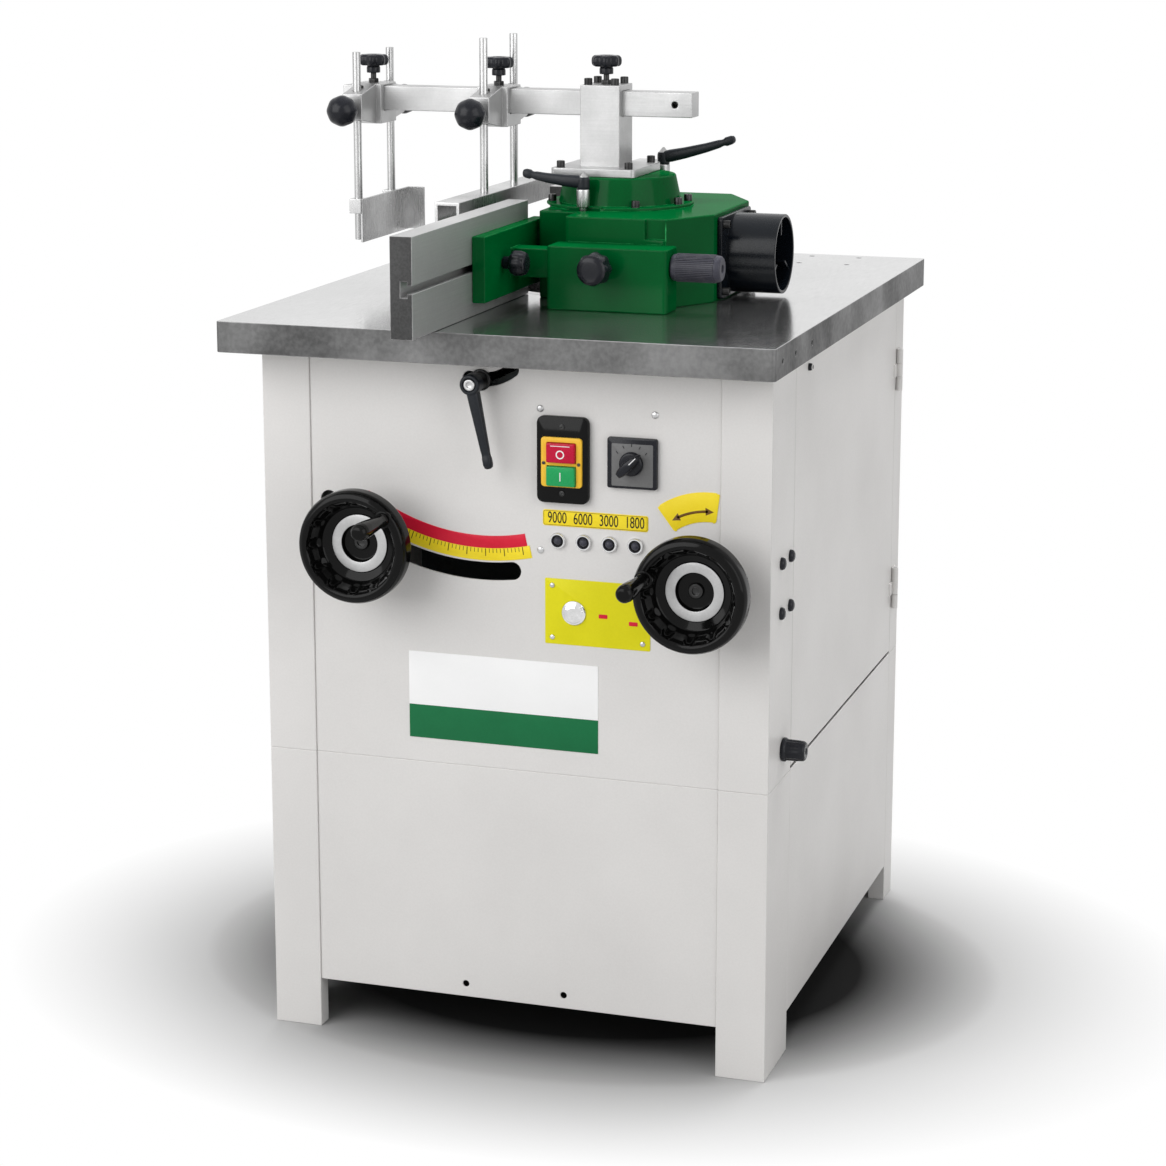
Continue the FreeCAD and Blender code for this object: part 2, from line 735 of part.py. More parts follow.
def table_top():
    half_w = TABLE_WIDTH / 2
    half_d = TABLE_DEPTH / 2
    block = rounded(box(-half_w, half_w, -half_d, half_d, SEAT, TOP), (0, 0, 1), TABLE_CORNER)
    hollow = box(-half_w + TABLE_RIM, half_w - TABLE_RIM, -half_d + TABLE_RIM, half_d - TABLE_RIM,
                 SEAT - OVERRUN, UNDER)
    seat_x = (CAB_LEFT + SEAT_INSET, CAB_RIGHT - SEAT_INSET)
    seat_y = (CAB_FRONT + SEAT_INSET, CAB_REAR - SEAT_INSET)
    seat = box(*seat_x, *seat_y, SEAT, UNDER).cut(
        box(seat_x[0] + SEAT_RIB, seat_x[1] - SEAT_RIB, seat_y[0] + SEAT_RIB, seat_y[1] - SEAT_RIB, SEAT, UNDER))
    casting = join([block.cut(hollow), seat])
    tools = [
        rod((SPINDLE_X, 0, UNDER - OVERRUN), (SPINDLE_X, 0, TOP + OVERRUN), RING_RADIUS - RING_LEDGE),
        rod((SPINDLE_X, 0, TOP - RING_THICK), (SPINDLE_X, 0, TOP + OVERRUN), RING_RADIUS),
    ]
    for x, y in feeder_places():
        tools.append(rod((x, y, UNDER - OVERRUN), (x, y, TOP + OVERRUN), TAP_RADIUS))
    for share in EDGE_HOLE_SHARES:
        y = share * TABLE_DEPTH
        middle = TOP - TABLE_EDGE / 2
        tools.append(rod((half_w - TABLE_RIM, y, middle), (half_w + OVERRUN, y, middle), TAP_RADIUS))
    for x, y in (CLAMP_FRONT, CLAMP_REAR):
        tools.append(rod((x, y, TOP - CLAMP_THREAD), (x, y, TOP + OVERRUN), CLAMP_STUD + RUN_FIT))
    return cut(casting, tools)


def feeder_places():
    places = []
    for i in (-1, 1):
        for j in (-1, 1):
            places.append((FEEDER_X + i * FEEDER_PITCH_X / 2, FEEDER_Y + j * FEEDER_PITCH_Y / 2))
    return places


def table_ring():
    outer = rod((SPINDLE_X, 0, TOP - RING_THICK), (SPINDLE_X, 0, TOP), RING_RADIUS - SEAT_FIT)
    return outer.cut(rod((SPINDLE_X, 0, UNDER), (SPINDLE_X, 0, TOP + OVERRUN), RING_BORE))


# Cabinet

def corner_post(x, x_way, y, y_way, side, z0, z1):
    # An angle section with a short lip folded inwards at both edges.
    face_end = x + x_way * POST_FACE
    side_end = y + y_way * side
    return join([
        box(x, face_end, y, y + y_way * SHEET, z0, z1),
        box(x, x + x_way * SHEET, y, side_end, z0, z1),
        box(face_end - x_way * SHEET, face_end, y, y + y_way * POST_LIP, z0, z1),
        box(x, x + x_way * POST_LIP, side_end - y_way * SHEET, side_end, z0, z1),
    ])


def four_posts(z0, z1):
    posts = []
    for x, x_way in ((CAB_LEFT, 1), (CAB_RIGHT, -1)):
        posts.append(corner_post(x, x_way, CAB_FRONT, 1, POST_FRONT_SIDE, z0, z1))
        posts.append(corner_post(x, x_way, CAB_REAR, -1, POST_REAR_SIDE, z0, z1))
    return posts


def tray_facing_y(y, way, z0, z1):
    # A sheet between the posts with its side edges folded in.
    deep = y + way * (POST_LIP - PANEL_RECESS)
    return join([
        box(PANEL_LEFT, PANEL_RIGHT, y, y + way * SHEET, z0, z1),
        box(PANEL_LEFT, PANEL_LEFT + SHEET, y, deep, z0, z1),
        box(PANEL_RIGHT - SHEET, PANEL_RIGHT, y, deep, z0, z1),
    ])


def tray_facing_x(x, way, gap, z0, z1):
    front = DOOR_FRONT + gap
    rear = DOOR_REAR - gap
    deep = x + way * POST_LIP
    return join([
        box(x, x + way * SHEET, front, rear, z0, z1),
        box(x, deep, front, front + SHEET, z0, z1),
        box(x, deep, rear - SHEET, rear, z0, z1),
    ])


def lower_stand():
    front = tray_facing_y(PANEL_FACE, 1, FRONT_PANEL_FOOT, SEAM)
    middle = (PANEL_LEFT + PANEL_RIGHT) / 2
    holes = []
    for way in (-1, 1):
        x = middle + way * STAND_HOLE_PITCH / 2
        z = FRONT_PANEL_FOOT + STAND_HOLE_RISE
        holes.append(rod((x, PANEL_FACE - OVERRUN, z), (x, PANEL_BACK + OVERRUN, z), STAND_HOLE_RADIUS))
    return group(four_posts(0, SEAM) + [
        cut(front, holes),
        tray_facing_y(CAB_REAR - PANEL_RECESS, -1, FRONT_PANEL_FOOT, SEAM),
        tray_facing_x(CAB_LEFT, 1, 0, SIDE_PANEL_FOOT, SEAM),
        tray_facing_x(CAB_RIGHT, -1, 0, SIDE_PANEL_FOOT, SEAM),
    ])


def cabinet_shell():
    posts = four_posts(SEAM, SEAT)
    bolt_holes = [rod((CAB_RIGHT - OVERRUN, y, z), (CAB_RIGHT + OVERRUN, y, z), CAP_BOLT + SEAT_FIT)
                  for y, z in cap_places()]
    latch = (CAB_RIGHT - OVERRUN, LATCH_Y, TOP - LATCH_DROP), (CAB_RIGHT + OVERRUN, LATCH_Y, TOP - LATCH_DROP)
    bolt_holes.append(rod(*latch, LATCH_SHANK + RUN_FIT))
    bolt_holes.append(latch_slot())
    return group([cut(post, bolt_holes) for post in posts] + [
        tray_facing_y(CAB_REAR - PANEL_RECESS, -1, SEAM, SEAT),
        tray_facing_x(CAB_LEFT, 1, 0, SEAM, SEAT),
    ])


def control_panel():
    sheet = tray_facing_y(PANEL_FACE, 1, SEAM, SEAT)
    front = PANEL_FACE - OVERRUN
    back = PANEL_BACK + SEAT_FIT
    tools = [
        arc_slot(SLOT_RADIUS, SLOT_WIDTH, SLOT_ANGLES, front, back),
        arc_slot(LOCK_RADIUS, LOCK_SLOT_WIDTH, LOCK_SLOT_ANGLES, front, back),
        rod((TILT_WHEEL_X, front, TILT_WHEEL_Z), (TILT_WHEEL_X, back, TILT_WHEEL_Z), DRIVE_SHAFT + SLIDE_FIT),
        switch_body(SEAT_FIT, front, back),
        rotary_body(SEAT_FIT, front, back),
    ]
    for x in lamp_places():
        z = TOP - LAMP_DROP
        tools.append(rod((x, front, z), (x, back, z), LAMP_BODY + SEAT_FIT))
    return cut(sheet, tools)


def cap_places():
    y0 = CAB_FRONT + CAP_SETBACK
    z0 = TOP - CAP_DROP
    return [(y0 + i * CAP_PITCH_Y, z0 + j * CAP_PITCH_Z / 2) for i in (0, 1) for j in (-1, 1)]


def panel_screw_places():
    z = TOP - BOX_DROP
    return [(BOX_X + i * PANEL_SCREW_X, z + j * PANEL_SCREW_Z) for i in (-1, 1) for j in (-1, 1)]


def cabinet_hardware():
    # Bolt caps on the right side, screws of the electrics box and the two hinge pins.
    pieces = []
    for y, z in cap_places():
        cap = rod((CAB_RIGHT, y, z), (CAB_RIGHT + CAP_HEIGHT, y, z), CAP_RADIUS)
        bolt = rod((CAB_RIGHT - SHEET, y, z), (CAB_RIGHT, y, z), CAP_BOLT)
        pieces.append(join([cap, bolt]))
    for x, z in panel_screw_places():
        pieces.append(rod((x, PANEL_FACE - PANEL_SCREW_HEIGHT, z), (x, PANEL_FACE, z), PANEL_SCREW))
    for drop in HINGE_DROPS:
        z = TOP - drop
        pieces.append(rod((HINGE_X, HINGE_Y, z - HINGE_LENGTH / 2), (HINGE_X, HINGE_Y, z + HINGE_LENGTH / 2),
                          HINGE_PIN))
    return group(pieces)


# Door and latch

def hinge_leaf(z0, z1, way):
    # One leaf with its knuckle: way -1 lies on the door, +1 on the rear post.
    knuckle = rod((HINGE_X, HINGE_Y, z0), (HINGE_X, HINGE_Y, z1), HINGE_BARREL - SLIDE_FIT)
    plate = box(CAB_RIGHT, CAB_RIGHT + HINGE_SHEET, HINGE_Y, HINGE_Y + way * HINGE_LEAF, z0, z1)
    bore = rod((HINGE_X, HINGE_Y, z0 - OVERRUN), (HINGE_X, HINGE_Y, z1 + OVERRUN), HINGE_PIN + RUN_FIT)
    return cut(join([knuckle, plate]), [bore])


def side_door():
    z0 = SEAM + DOOR_SILL
    z1 = SEAT - DOOR_SILL
    pieces = [tray_facing_x(CAB_RIGHT, -1, DOOR_GAP, z0, z1)]
    third = HINGE_LENGTH / 3
    for drop in HINGE_DROPS:
        z = TOP - drop
        pieces.append(hinge_leaf(z - third / 2 + SLIDE_FIT, z + third / 2 - SLIDE_FIT, -1))
    stud_y = DOOR_FRONT + DOOR_STUD_SETBACK
    stud_z = TOP - DOOR_STUD_DROP
    pieces.append(rod((CAB_RIGHT - SHEET, stud_y, stud_z), (CAB_RIGHT + DOOR_STUD_HEIGHT, stud_y, stud_z), DOOR_STUD))
    return join(pieces).cut(latch_slot())


def latch_slot():
    # The opening in the post's lip and the door's edge that the latch cam turns through.
    z = TOP - LATCH_DROP
    back = CAB_RIGHT - SHEET
    return box(back - LATCH_SLOT_DEPTH, back, DOOR_FRONT - SHEET - DOOR_GAP / 2, DOOR_FRONT + 2 * (SHEET + DOOR_GAP),
               z - LATCH_CAM_WIDTH, z + LATCH_CAM_LENGTH)


def hinge_leaves():
    pieces = []
    third = HINGE_LENGTH / 3
    for drop in HINGE_DROPS:
        z = TOP - drop
        pieces.append(hinge_leaf(z - HINGE_LENGTH / 2, z - third / 2, 1))
        pieces.append(hinge_leaf(z + third / 2, z + HINGE_LENGTH / 2, 1))
    return group(pieces)


def latch_knob():
    z = TOP - LATCH_DROP
    inner = CAB_RIGHT - SHEET - SLIDE_FIT
    cam_x = inner - LATCH_CAM_THICK
    return join([
        cone((CAB_RIGHT + SLIDE_FIT, LATCH_Y, z), (CAB_RIGHT + LATCH_LENGTH, LATCH_Y, z),
             LATCH_RADIUS, LATCH_RADIUS * LATCH_TIP_SHARE),
        rod((cam_x, LATCH_Y, z), (CAB_RIGHT + LATCH_LENGTH / 2, LATCH_Y, z), LATCH_SHANK),
        box(cam_x, inner, LATCH_Y - LATCH_CAM_WIDTH / 2, LATCH_Y + LATCH_CAM_WIDTH / 2,
            z - LATCH_SHANK, z + LATCH_CAM_LENGTH),
    ])


# Front panel fittings

def facing_plate(x, z, width, height, y0, y1):
    return box(x - width / 2, x + width / 2, y0, y1, z - height / 2, z + height / 2)


def switch_body(margin, y0, y1):
    width = BUTTON_WIDTH + 2 * SWITCH_BODY_MARGIN + 2 * margin
    height = BEZEL_HEIGHT + 2 * margin
    return facing_plate(SWITCH_X, TOP - BEZEL_DROP, width, height, y0, y1)


def rotary_body(margin, y0, y1):
    z = TOP - ROTARY_DROP
    return rod((ROTARY_X, y0, z), (ROTARY_X, y1, z), ROTARY_BODY + margin)


def lamp_places():
    return [LAMP_FIRST_X + index * LAMP_PITCH for index in range(LAMP_COUNT)]


def push_button(drop, margin, front, back):
    return facing_plate(SWITCH_X, TOP - drop, BUTTON_WIDTH + 2 * margin, BUTTON_HEIGHT + 2 * margin, front, back)


BUTTON_FRONT = PANEL_FACE - SWITCH_THICK - BEZEL_THICK - BUTTON_PROUD


def switch_housings():
    # Push-button station, rotary switch plate and the electrics box behind the panel.
    z = TOP - SWITCH_DROP
    plate_front = PANEL_FACE - SWITCH_THICK
    body_back = PANEL_BACK + SWITCH_BODY_DEPTH
    plate = rounded(facing_plate(SWITCH_X, z, SWITCH_WIDTH, SWITCH_HEIGHT, plate_front, PANEL_FACE),
                    (0, 1, 0), SWITCH_ROUND)
    bezel = rounded(facing_plate(SWITCH_X, TOP - BEZEL_DROP, BEZEL_WIDTH, BEZEL_HEIGHT,
                                 plate_front - BEZEL_THICK, plate_front), (0, 1, 0), SWITCH_ROUND / 2)
    pocket_end = BUTTON_FRONT + BUTTON_DEPTH + BUTTON_TRAVEL + SLIDE_FIT
    pockets = [push_button(drop, SLIDE_FIT, BUTTON_FRONT - OVERRUN, pocket_end) for drop in (STOP_DROP, START_DROP)]
    station = cut(join([plate, switch_body(0, PANEL_FACE, body_back)]), pockets)
    rz = TOP - ROTARY_DROP
    rotary = rounded(facing_plate(ROTARY_X, rz, ROTARY_SIZE, ROTARY_SIZE, PANEL_FACE - ROTARY_THICK, PANEL_FACE),
                     (0, 1, 0), ROTARY_ROUND)
    rotary = join([rotary, rotary_body(0, PANEL_FACE, PANEL_BACK + ROTARY_BODY_DEPTH)])
    shaft_hole = rod((ROTARY_X, PANEL_FACE - OVERRUN, rz), (ROTARY_X, PANEL_BACK, rz), ROTARY_SHAFT + RUN_FIT)
    bz = TOP - BOX_DROP
    case = facing_plate(BOX_X, bz, BOX_WIDTH, BOX_HEIGHT, PANEL_BACK, PANEL_BACK + BOX_DEPTH)
    inside = facing_plate(BOX_X, bz, BOX_WIDTH - 2 * BOX_WALL, BOX_HEIGHT - 2 * BOX_WALL,
                          PANEL_BACK - OVERRUN, PANEL_BACK + BOX_DEPTH - BOX_WALL)
    return group([station, cut(bezel, pockets), rotary.cut(shaft_hole), case.cut(inside)])


def stop_button():
    shape = push_button(STOP_DROP, 0, BUTTON_FRONT, BUTTON_FRONT + BUTTON_DEPTH)
    return rounded(shape, (0, 1, 0), BUTTON_PROUD / 2)


def start_button():
    shape = push_button(START_DROP, 0, BUTTON_FRONT, BUTTON_FRONT + BUTTON_DEPTH)
    return rounded(shape, (0, 1, 0), BUTTON_PROUD / 2)


def rotary_knob():
    z = TOP - ROTARY_DROP
    back = PANEL_FACE - ROTARY_THICK - SLIDE_FIT
    disc_front = back - KNOB_DISC_THICK
    disc = rod((ROTARY_X, back, z), (ROTARY_X, disc_front, z), KNOB_DISC)
    grip = facing_plate(ROTARY_X, z, KNOB_GRIP, 2 * KNOB_DISC, disc_front - KNOB_GRIP_PROUD, disc_front)
    shaft = rod((ROTARY_X, back, z), (ROTARY_X, PANEL_BACK, z), ROTARY_SHAFT)
    return turned(join([disc, grip, shaft]), (ROTARY_X, 0, z), (0, 1, 0), KNOB_REST_ANGLE)


def indicator_lamps():
    pieces = []
    z = TOP - LAMP_DROP
    front = PANEL_FACE - LAMP_THICK
    for x in lamp_places():
        pieces.append(join([
            rod((x, PANEL_FACE, z), (x, front, z), LAMP_RADIUS),
            cone((x, front, z), (x, front - LAMP_THICK, z), LAMP_LENS, LAMP_LENS / 2),
            rod((x, PANEL_FACE, z), (x, PANEL_BACK + LAMP_BODY_DEPTH, z), LAMP_BODY),
        ]))
    plate_front = PANEL_FACE - LABEL_THICK
    pz = TOP - PILOT_DROP
    pieces.append(join([
        rod((PILOT_X, plate_front, pz), (PILOT_X, plate_front - PILOT_HEIGHT / 2, pz), PILOT_RADIUS),
        cone((PILOT_X, plate_front - PILOT_HEIGHT / 2, pz), (PILOT_X, plate_front - PILOT_HEIGHT, pz),
             PILOT_RADIUS * LATCH_TIP_SHARE, PILOT_RADIUS / 2),
    ]))
    return group(pieces)


def label_plates():
    front = PANEL_FACE - LABEL_THICK
    pieces = []
    for x0, x1, drop0, drop1 in (SPEED_LABEL, BUTTON_PLATE, NAME_PLATE):
        pieces.append(box(x0, x1, front, PANEL_FACE, TOP - drop0, TOP - drop1))
    pieces.append(ring_sector(TILT_AXIS, SCALE_RADII, SCALE_ANGLES, front, PANEL_FACE))
    centre = (ARROW_X, TOP - ARROW_DROP)
    pieces.append(ring_sector(centre, ARROW_RADII, [180 + 180 - angle for angle in ARROW_ANGLES], front, PANEL_FACE))
    return group(pieces)


# Trunnions, cradle and tilt drive

def trunnion_brackets():
    pieces = []
    axis_start = (SPINDLE_X, -TABLE_DEPTH, TOP)
    axis_end = (SPINDLE_X, TABLE_DEPTH, TOP)
    for way in (-1, 1):
        y0 = way * TRUNNION_Y
        y1 = way * (TRUNNION_Y + TRUNNION_THICK)
        disc = rod((SPINDLE_X, y0, TOP), (SPINDLE_X, y1, TOP), TRUNNION_OUTER)
        below = box(SPINDLE_X - TRUNNION_OUTER, SPINDLE_X + TRUNNION_OUTER, y0, y1, TOP - TRUNNION_OUTER, UNDER)
        crescent = disc.common(below).cut(rod(axis_start, axis_end, TRUNNION_INNER))
        slot = arc_slot(TRUNNION_SLOT_RADIUS, TRUNNION_SLOT_WIDTH, TRUNNION_SLOT_ANGLES,
                        min(y0, y1) - OVERRUN, max(y0, y1) + OVERRUN)
        feet = []
        for side in (-1, 1):
            x0 = SPINDLE_X + side * (TRUNNION_INNER + TRUNNION_FOOT_THICK / 4)
            feet.append(box(x0, x0 + side * TRUNNION_FOOT_LENGTH, y1, y1 + way * TRUNNION_FOOT,
                            UNDER - TRUNNION_FOOT_THICK, UNDER))
        pieces.append(join([crescent.cut(slot)] + feet))
    return group(pieces)


def tongue(way):
    # The curved key on the cradle that runs in one bracket's slot.
    half = TRUNNION_SLOT_WIDTH / 2 - SLIDE_FIT
    radii = (TRUNNION_SLOT_RADIUS - half, TRUNNION_SLOT_RADIUS + half)
    start = way * (TRUNNION_Y - CRADLE_GAP)
    end = way * (TRUNNION_Y + TRUNNION_THICK - TONGUE_SHORT)
    return ring_sector(TILT_AXIS, radii, (-TONGUE_ANGLE, TONGUE_ANGLE), start, end)


def tilt_cradle():
    front, back = FRONT_PLATE
    left = SPINDLE_X - CRADLE_HALF_WIDTH
    right = SPINDLE_X + CRADLE_HALF_WIDTH
    top = TOP - CRADLE_TOP_DROP
    foot = TOP - CRADLE_FOOT_DROP
    screw_x = HEIGHT_WHEEL[0]
    pieces = [
        box(left, right, front, back, foot, top),
        ring_sector(TILT_AXIS, (WEDGE_INNER, SECTOR_INNER + SECTOR_WIDTH), WEDGE_ANGLES, front, back),
        box(SPINDLE_X - CRADLE_ARM, left, front, back, foot, TOP - CRADLE_ARM_DROP),
        box(SPINDLE_X - LOCK_LUG_RADIUS, SPINDLE_X + LOCK_LUG_RADIUS, front, back, top, LOCK_PLACE[1]),
        rod((LOCK_PLACE[0], front, LOCK_PLACE[1]), (LOCK_PLACE[0], back, LOCK_PLACE[1]), LOCK_LUG_RADIUS),
        box(left, right, front, -front, top - CRADLE_YOKE, top),
        box(left, right, -back, -front, top - CRADLE_CHEEK, top),
        tongue(-1),
        tongue(1),
        rod((screw_x, front - SHAFT_BOSS_PROUD, HEIGHT_WHEEL[1]), (screw_x, back, HEIGHT_WHEEL[1]), SHAFT_BOSS_RADIUS),
        box(screw_x - SCREW_FOOT_HALF, screw_x + SCREW_FOOT_HALF, back, LIFT_SCREW_Y + SCREW_FOOT_HALF,
            foot, foot + SCREW_FOOT),
    ]
    tools = [
        rod((SPINDLE_X, 0, foot), (SPINDLE_X, 0, TOP), YOKE_HOLE),
        rod((screw_x, front - OVERRUN, HEIGHT_WHEEL[1]), (screw_x, back + OVERRUN, HEIGHT_WHEEL[1]),
            HEIGHT_SHAFT + RUN_FIT),
        rod((screw_x, LIFT_SCREW_Y, foot - OVERRUN), (screw_x, LIFT_SCREW_Y, foot + OVERRUN), LIFT_JOURNAL + RUN_FIT),
        rod((LOCK_PLACE[0], front - OVERRUN, LOCK_PLACE[1]), (LOCK_PLACE[0], back + OVERRUN, LOCK_PLACE[1]),
            LOCK_STUD + RUN_FIT),
    ]
    return group([cut(join(pieces), tools)] + slide_ways(0, 0))


def slide_ways(margin, overrun):
    # Two dovetail ways on the back of the cradle plate.
    y0 = FRONT_PLATE[1]
    y1 = y0 + WAY_HEIGHT + margin
    z0 = TOP - WAY_FOOT_DROP - overrun
    z1 = TOP - WAY_TOP_DROP + overrun
    base = WAY_BASE + margin
    head = WAY_HEAD + margin
    ways = []
    for way in (-1, 1):
        x = SPINDLE_X + way * WAY_X
        ways.append(prism_xy([(x - base, y0), (x + base, y0), (x + head, y1), (x - head, y1)], z0, z1))
    return ways


def tilt_sector():
    step = 360 / SECTOR_TEETH
    first = MESH_ANGLE - (TILT_RANGE[1] / step // 1 + SECTOR_SPARE_TEETH) * step
    last = MESH_ANGLE - (TILT_RANGE[0] / step // 1 - SECTOR_SPARE_TEETH) * step
    count = round((last - first) / step) + 1
    teeth = tooth_points(TILT_AXIS, SECTOR_TEETH, SECTOR_MODULE, first, count)
    y0 = SECTOR_FACE
    outer = Part.makePolygon([V(x, y0, z) for x, z in teeth])

    def inner(degrees):
        x, z = on_circle(TILT_AXIS, SECTOR_INNER, degrees)
        return V(x, y0, z)

    start = V(teeth[0][0], y0, teeth[0][1])
    end = V(teeth[-1][0], y0, teeth[-1][1])
    edges = list(outer.Edges) + [
        Part.LineSegment(end, inner(last)).toShape(),
        Part.Arc(inner(last), inner((first + last) / 2), inner(first)).toShape(),
        Part.LineSegment(inner(first), start).toShape(),
    ]
    return Part.Face(Part.Wire(Part.__sortEdges__(edges))).extrude(V(0, SECTOR_WIDTH, 0))


def driver_angle():
    # Direction from the countershaft to the wheel shaft.
    return math.degrees(math.atan2(TILT_WHEEL_X - COUNTERSHAFT[0], COUNTERSHAFT[1] - TILT_WHEEL_Z))


def tilt_countershaft():
    x, z = COUNTERSHAFT
    gear_back = REDUCTION_FRONT + REDUCTION_WIDTH
    shaft = rod((x, DRIVE_FRONT, z), (x, FRONT_PLATE[0], z), DRIVE_SHAFT)
    pinion = spur_gear(COUNTERSHAFT, PINION_TEETH, SECTOR_MODULE, MESH_ANGLE + 180 + 180 / PINION_TEETH,
                       SECTOR_FACE, FRONT_PLATE[0])
    wheel = spur_gear(COUNTERSHAFT, REDUCTION_TEETH, REDUCTION_MODULE, driver_angle(), REDUCTION_FRONT, gear_back)
    bore = rod((x, REDUCTION_FRONT - OVERRUN, z), (x, gear_back + OVERRUN, z), DRIVE_SHAFT + SEAT_FIT)
    return group([join([shaft, pinion]), wheel.cut(bore)])


def tilt_gear_bracket():
    # Two bearing plates on a flange that is bolted to the right-hand side of the cabinet.
    left = COUNTERSHAFT[0] - DRIVE_PLATE_HALF
    wall = CAB_RIGHT - SHEET
    middle = (COUNTERSHAFT[1] + TILT_WHEEL_Z) / 2
    z0 = TOP - CAP_DROP - CAP_PITCH_Z / 2 - DRIVE_PLATE
    z1 = max(middle + DRIVE_PLATE_HALF, TOP - CAP_DROP + CAP_PITCH_Z / 2 + DRIVE_PLATE)
    low = middle - DRIVE_PLATE_HALF
    high = middle + DRIVE_PLATE_HALF
    web = CAB_RIGHT - POST_LIP - DRIVE_LIP_GAP
    flange_front = CAB_FRONT + POST_LIP + DRIVE_LIP_GAP
    flange_back = DOOR_FRONT - SHEET - DRIVE_LIP_GAP
    pieces = [
        box(wall - DRIVE_FLANGE, wall, flange_front, flange_back, z0, z1),
        box(left, wall, DRIVE_FRONT, DRIVE_FRONT + DRIVE_PLATE, low, high),
        box(web - DRIVE_PLATE, web, DRIVE_FRONT, DRIVE_INNER, low, high),
        box(left, web, DRIVE_INNER - DRIVE_PLATE, DRIVE_INNER, low, high),
    ]
    bores = []
    for x, z in (COUNTERSHAFT, (TILT_WHEEL_X, TILT_WHEEL_Z)):
        bores.append(rod((x, DRIVE_FRONT - OVERRUN, z), (x, DRIVE_INNER + OVERRUN, z), DRIVE_SHAFT + RUN_FIT))
    return cut(join(pieces), bores)


# Handwheels

def handwheel_parts(centre, handle_angle):
    # The dished wheel, its bright face ring and the pin that carries the handle.
    x, z = centre

    def at(forward):
        return x, PANEL_FACE - forward, z

    rim_front = WHEEL_RIM_BACK + WHEEL_RIM_DEPTH
    rim = rod(at(WHEEL_RIM_BACK), at(rim_front), WHEEL_RADIUS).cut(
        rod(at(0), at(rim_front + OVERRUN), WHEEL_RADIUS - WHEEL_RIM))
    rim = rim.makeFillet(WHEEL_RIM_ROUND, [e for e in rim.Edges if isinstance(e.Curve, Part.Circle)])
    seat = WHEEL_FACE - WHEEL_TRIM
    rim_middle = WHEEL_RADIUS - WHEEL_RIM / 2
    web_back = WHEEL_RIM_BACK + WHEEL_WEB / 2
    profile = [
        (0, WHEEL_HUB_BACK), (WHEEL_HUB, WHEEL_HUB_BACK), (WHEEL_HUB, seat - 2 * WHEEL_WEB), (rim_middle, web_back),
        (rim_middle, web_back + WHEEL_WEB), (WHEEL_BOSS, seat), (0, seat),
    ]
    corners = [V(x + radius, PANEL_FACE - forward, z) for radius, forward in profile]
    disc = Part.Face(Part.makePolygon(corners + corners[:1])).revolve(V(*at(0)), V(0, -1, 0), 360)
    dimple = rod(at(WHEEL_FACE - WHEEL_DIMPLE_DEPTH), at(WHEEL_FACE + OVERRUN), WHEEL_DIMPLE)
    px, pz = on_circle(centre, HANDLE_CIRCLE, handle_angle)
    socket = rod((px, PANEL_FACE - web_back, pz), (px, WHEEL_FRONT, pz), HANDLE_RADIUS)
    pin = rod((px, WHEEL_FRONT, pz), (px, HANDLE_TIP + HANDLE_ROUND, pz), HANDLE_PIN)
    wheel = join([rim, disc, socket]).cut(dimple)
    wheel = join([wheel, pin])
    trim = rod(at(seat), at(WHEEL_FACE), WHEEL_BOSS).cut(rod(at(0), at(WHEEL_FACE + OVERRUN), WHEEL_DIMPLE))
    return wheel, trim


def wheel_bore(centre, radius):
    x, z = centre
    return rod((x, PANEL_FACE, z), (x, PANEL_FACE - WHEEL_SHAFT_END, z), radius + SEAT_FIT)


def crank_handle(centre, handle_angle):
    px, pz = on_circle(centre, HANDLE_CIRCLE, handle_angle)
    grip = cone((px, HANDLE_BASE, pz), (px, HANDLE_TIP, pz), HANDLE_NECK, HANDLE_RADIUS)
    grip = grip.makeFillet(HANDLE_ROUND, [e for e in grip.Edges if isinstance(e.Curve, Part.Circle)
                                          and abs(e.Curve.Center.y - HANDLE_TIP) < HANDLE_GAP])
    hole = rod((px, HANDLE_BASE + OVERRUN, pz), (px, HANDLE_TIP + HANDLE_ROUND - SLIDE_FIT, pz), HANDLE_PIN + RUN_FIT)
    return grip.cut(hole)


def height_handwheel():
    x, z = HEIGHT_WHEEL
    wheel, trim = handwheel_parts(HEIGHT_WHEEL, HEIGHT_HANDLE_ANGLE)
    gear_end = LIFT_SCREW_Y - BEVEL_BACK - BEVEL_HUB_LENGTH / 2
    shaft = rod((x, PANEL_FACE - WHEEL_SHAFT_END, z), (x, gear_end, z), HEIGHT_SHAFT)
    gear = bevel_gear((x, LIFT_SCREW_Y, z), (0, -1, 0), (0, 0, -1), 0)
    return group([wheel.cut(wheel_bore(HEIGHT_WHEEL, HEIGHT_SHAFT)), trim, join([shaft, gear])])


def height_handle():
    return crank_handle(HEIGHT_WHEEL, HEIGHT_HANDLE_ANGLE)


def tilt_handwheel():
    centre = (TILT_WHEEL_X, TILT_WHEEL_Z)
    wheel, trim = handwheel_parts(centre, TILT_HANDLE_ANGLE)
    gear_back = REDUCTION_FRONT + REDUCTION_WIDTH
    shaft = rod((centre[0], PANEL_FACE - WHEEL_SHAFT_END, centre[1]), (centre[0], gear_back, centre[1]), DRIVE_SHAFT)
    gear = spur_gear(centre, DRIVER_TEETH, REDUCTION_MODULE, driver_angle() + 180 + 180 / DRIVER_TEETH,
                     REDUCTION_FRONT, gear_back)
    return group([wheel.cut(wheel_bore(centre, DRIVE_SHAFT)), trim, join([shaft, gear])])


def tilt_handle():
    return crank_handle((TILT_WHEEL_X, TILT_WHEEL_Z), TILT_HANDLE_ANGLE)


# Clamping levers

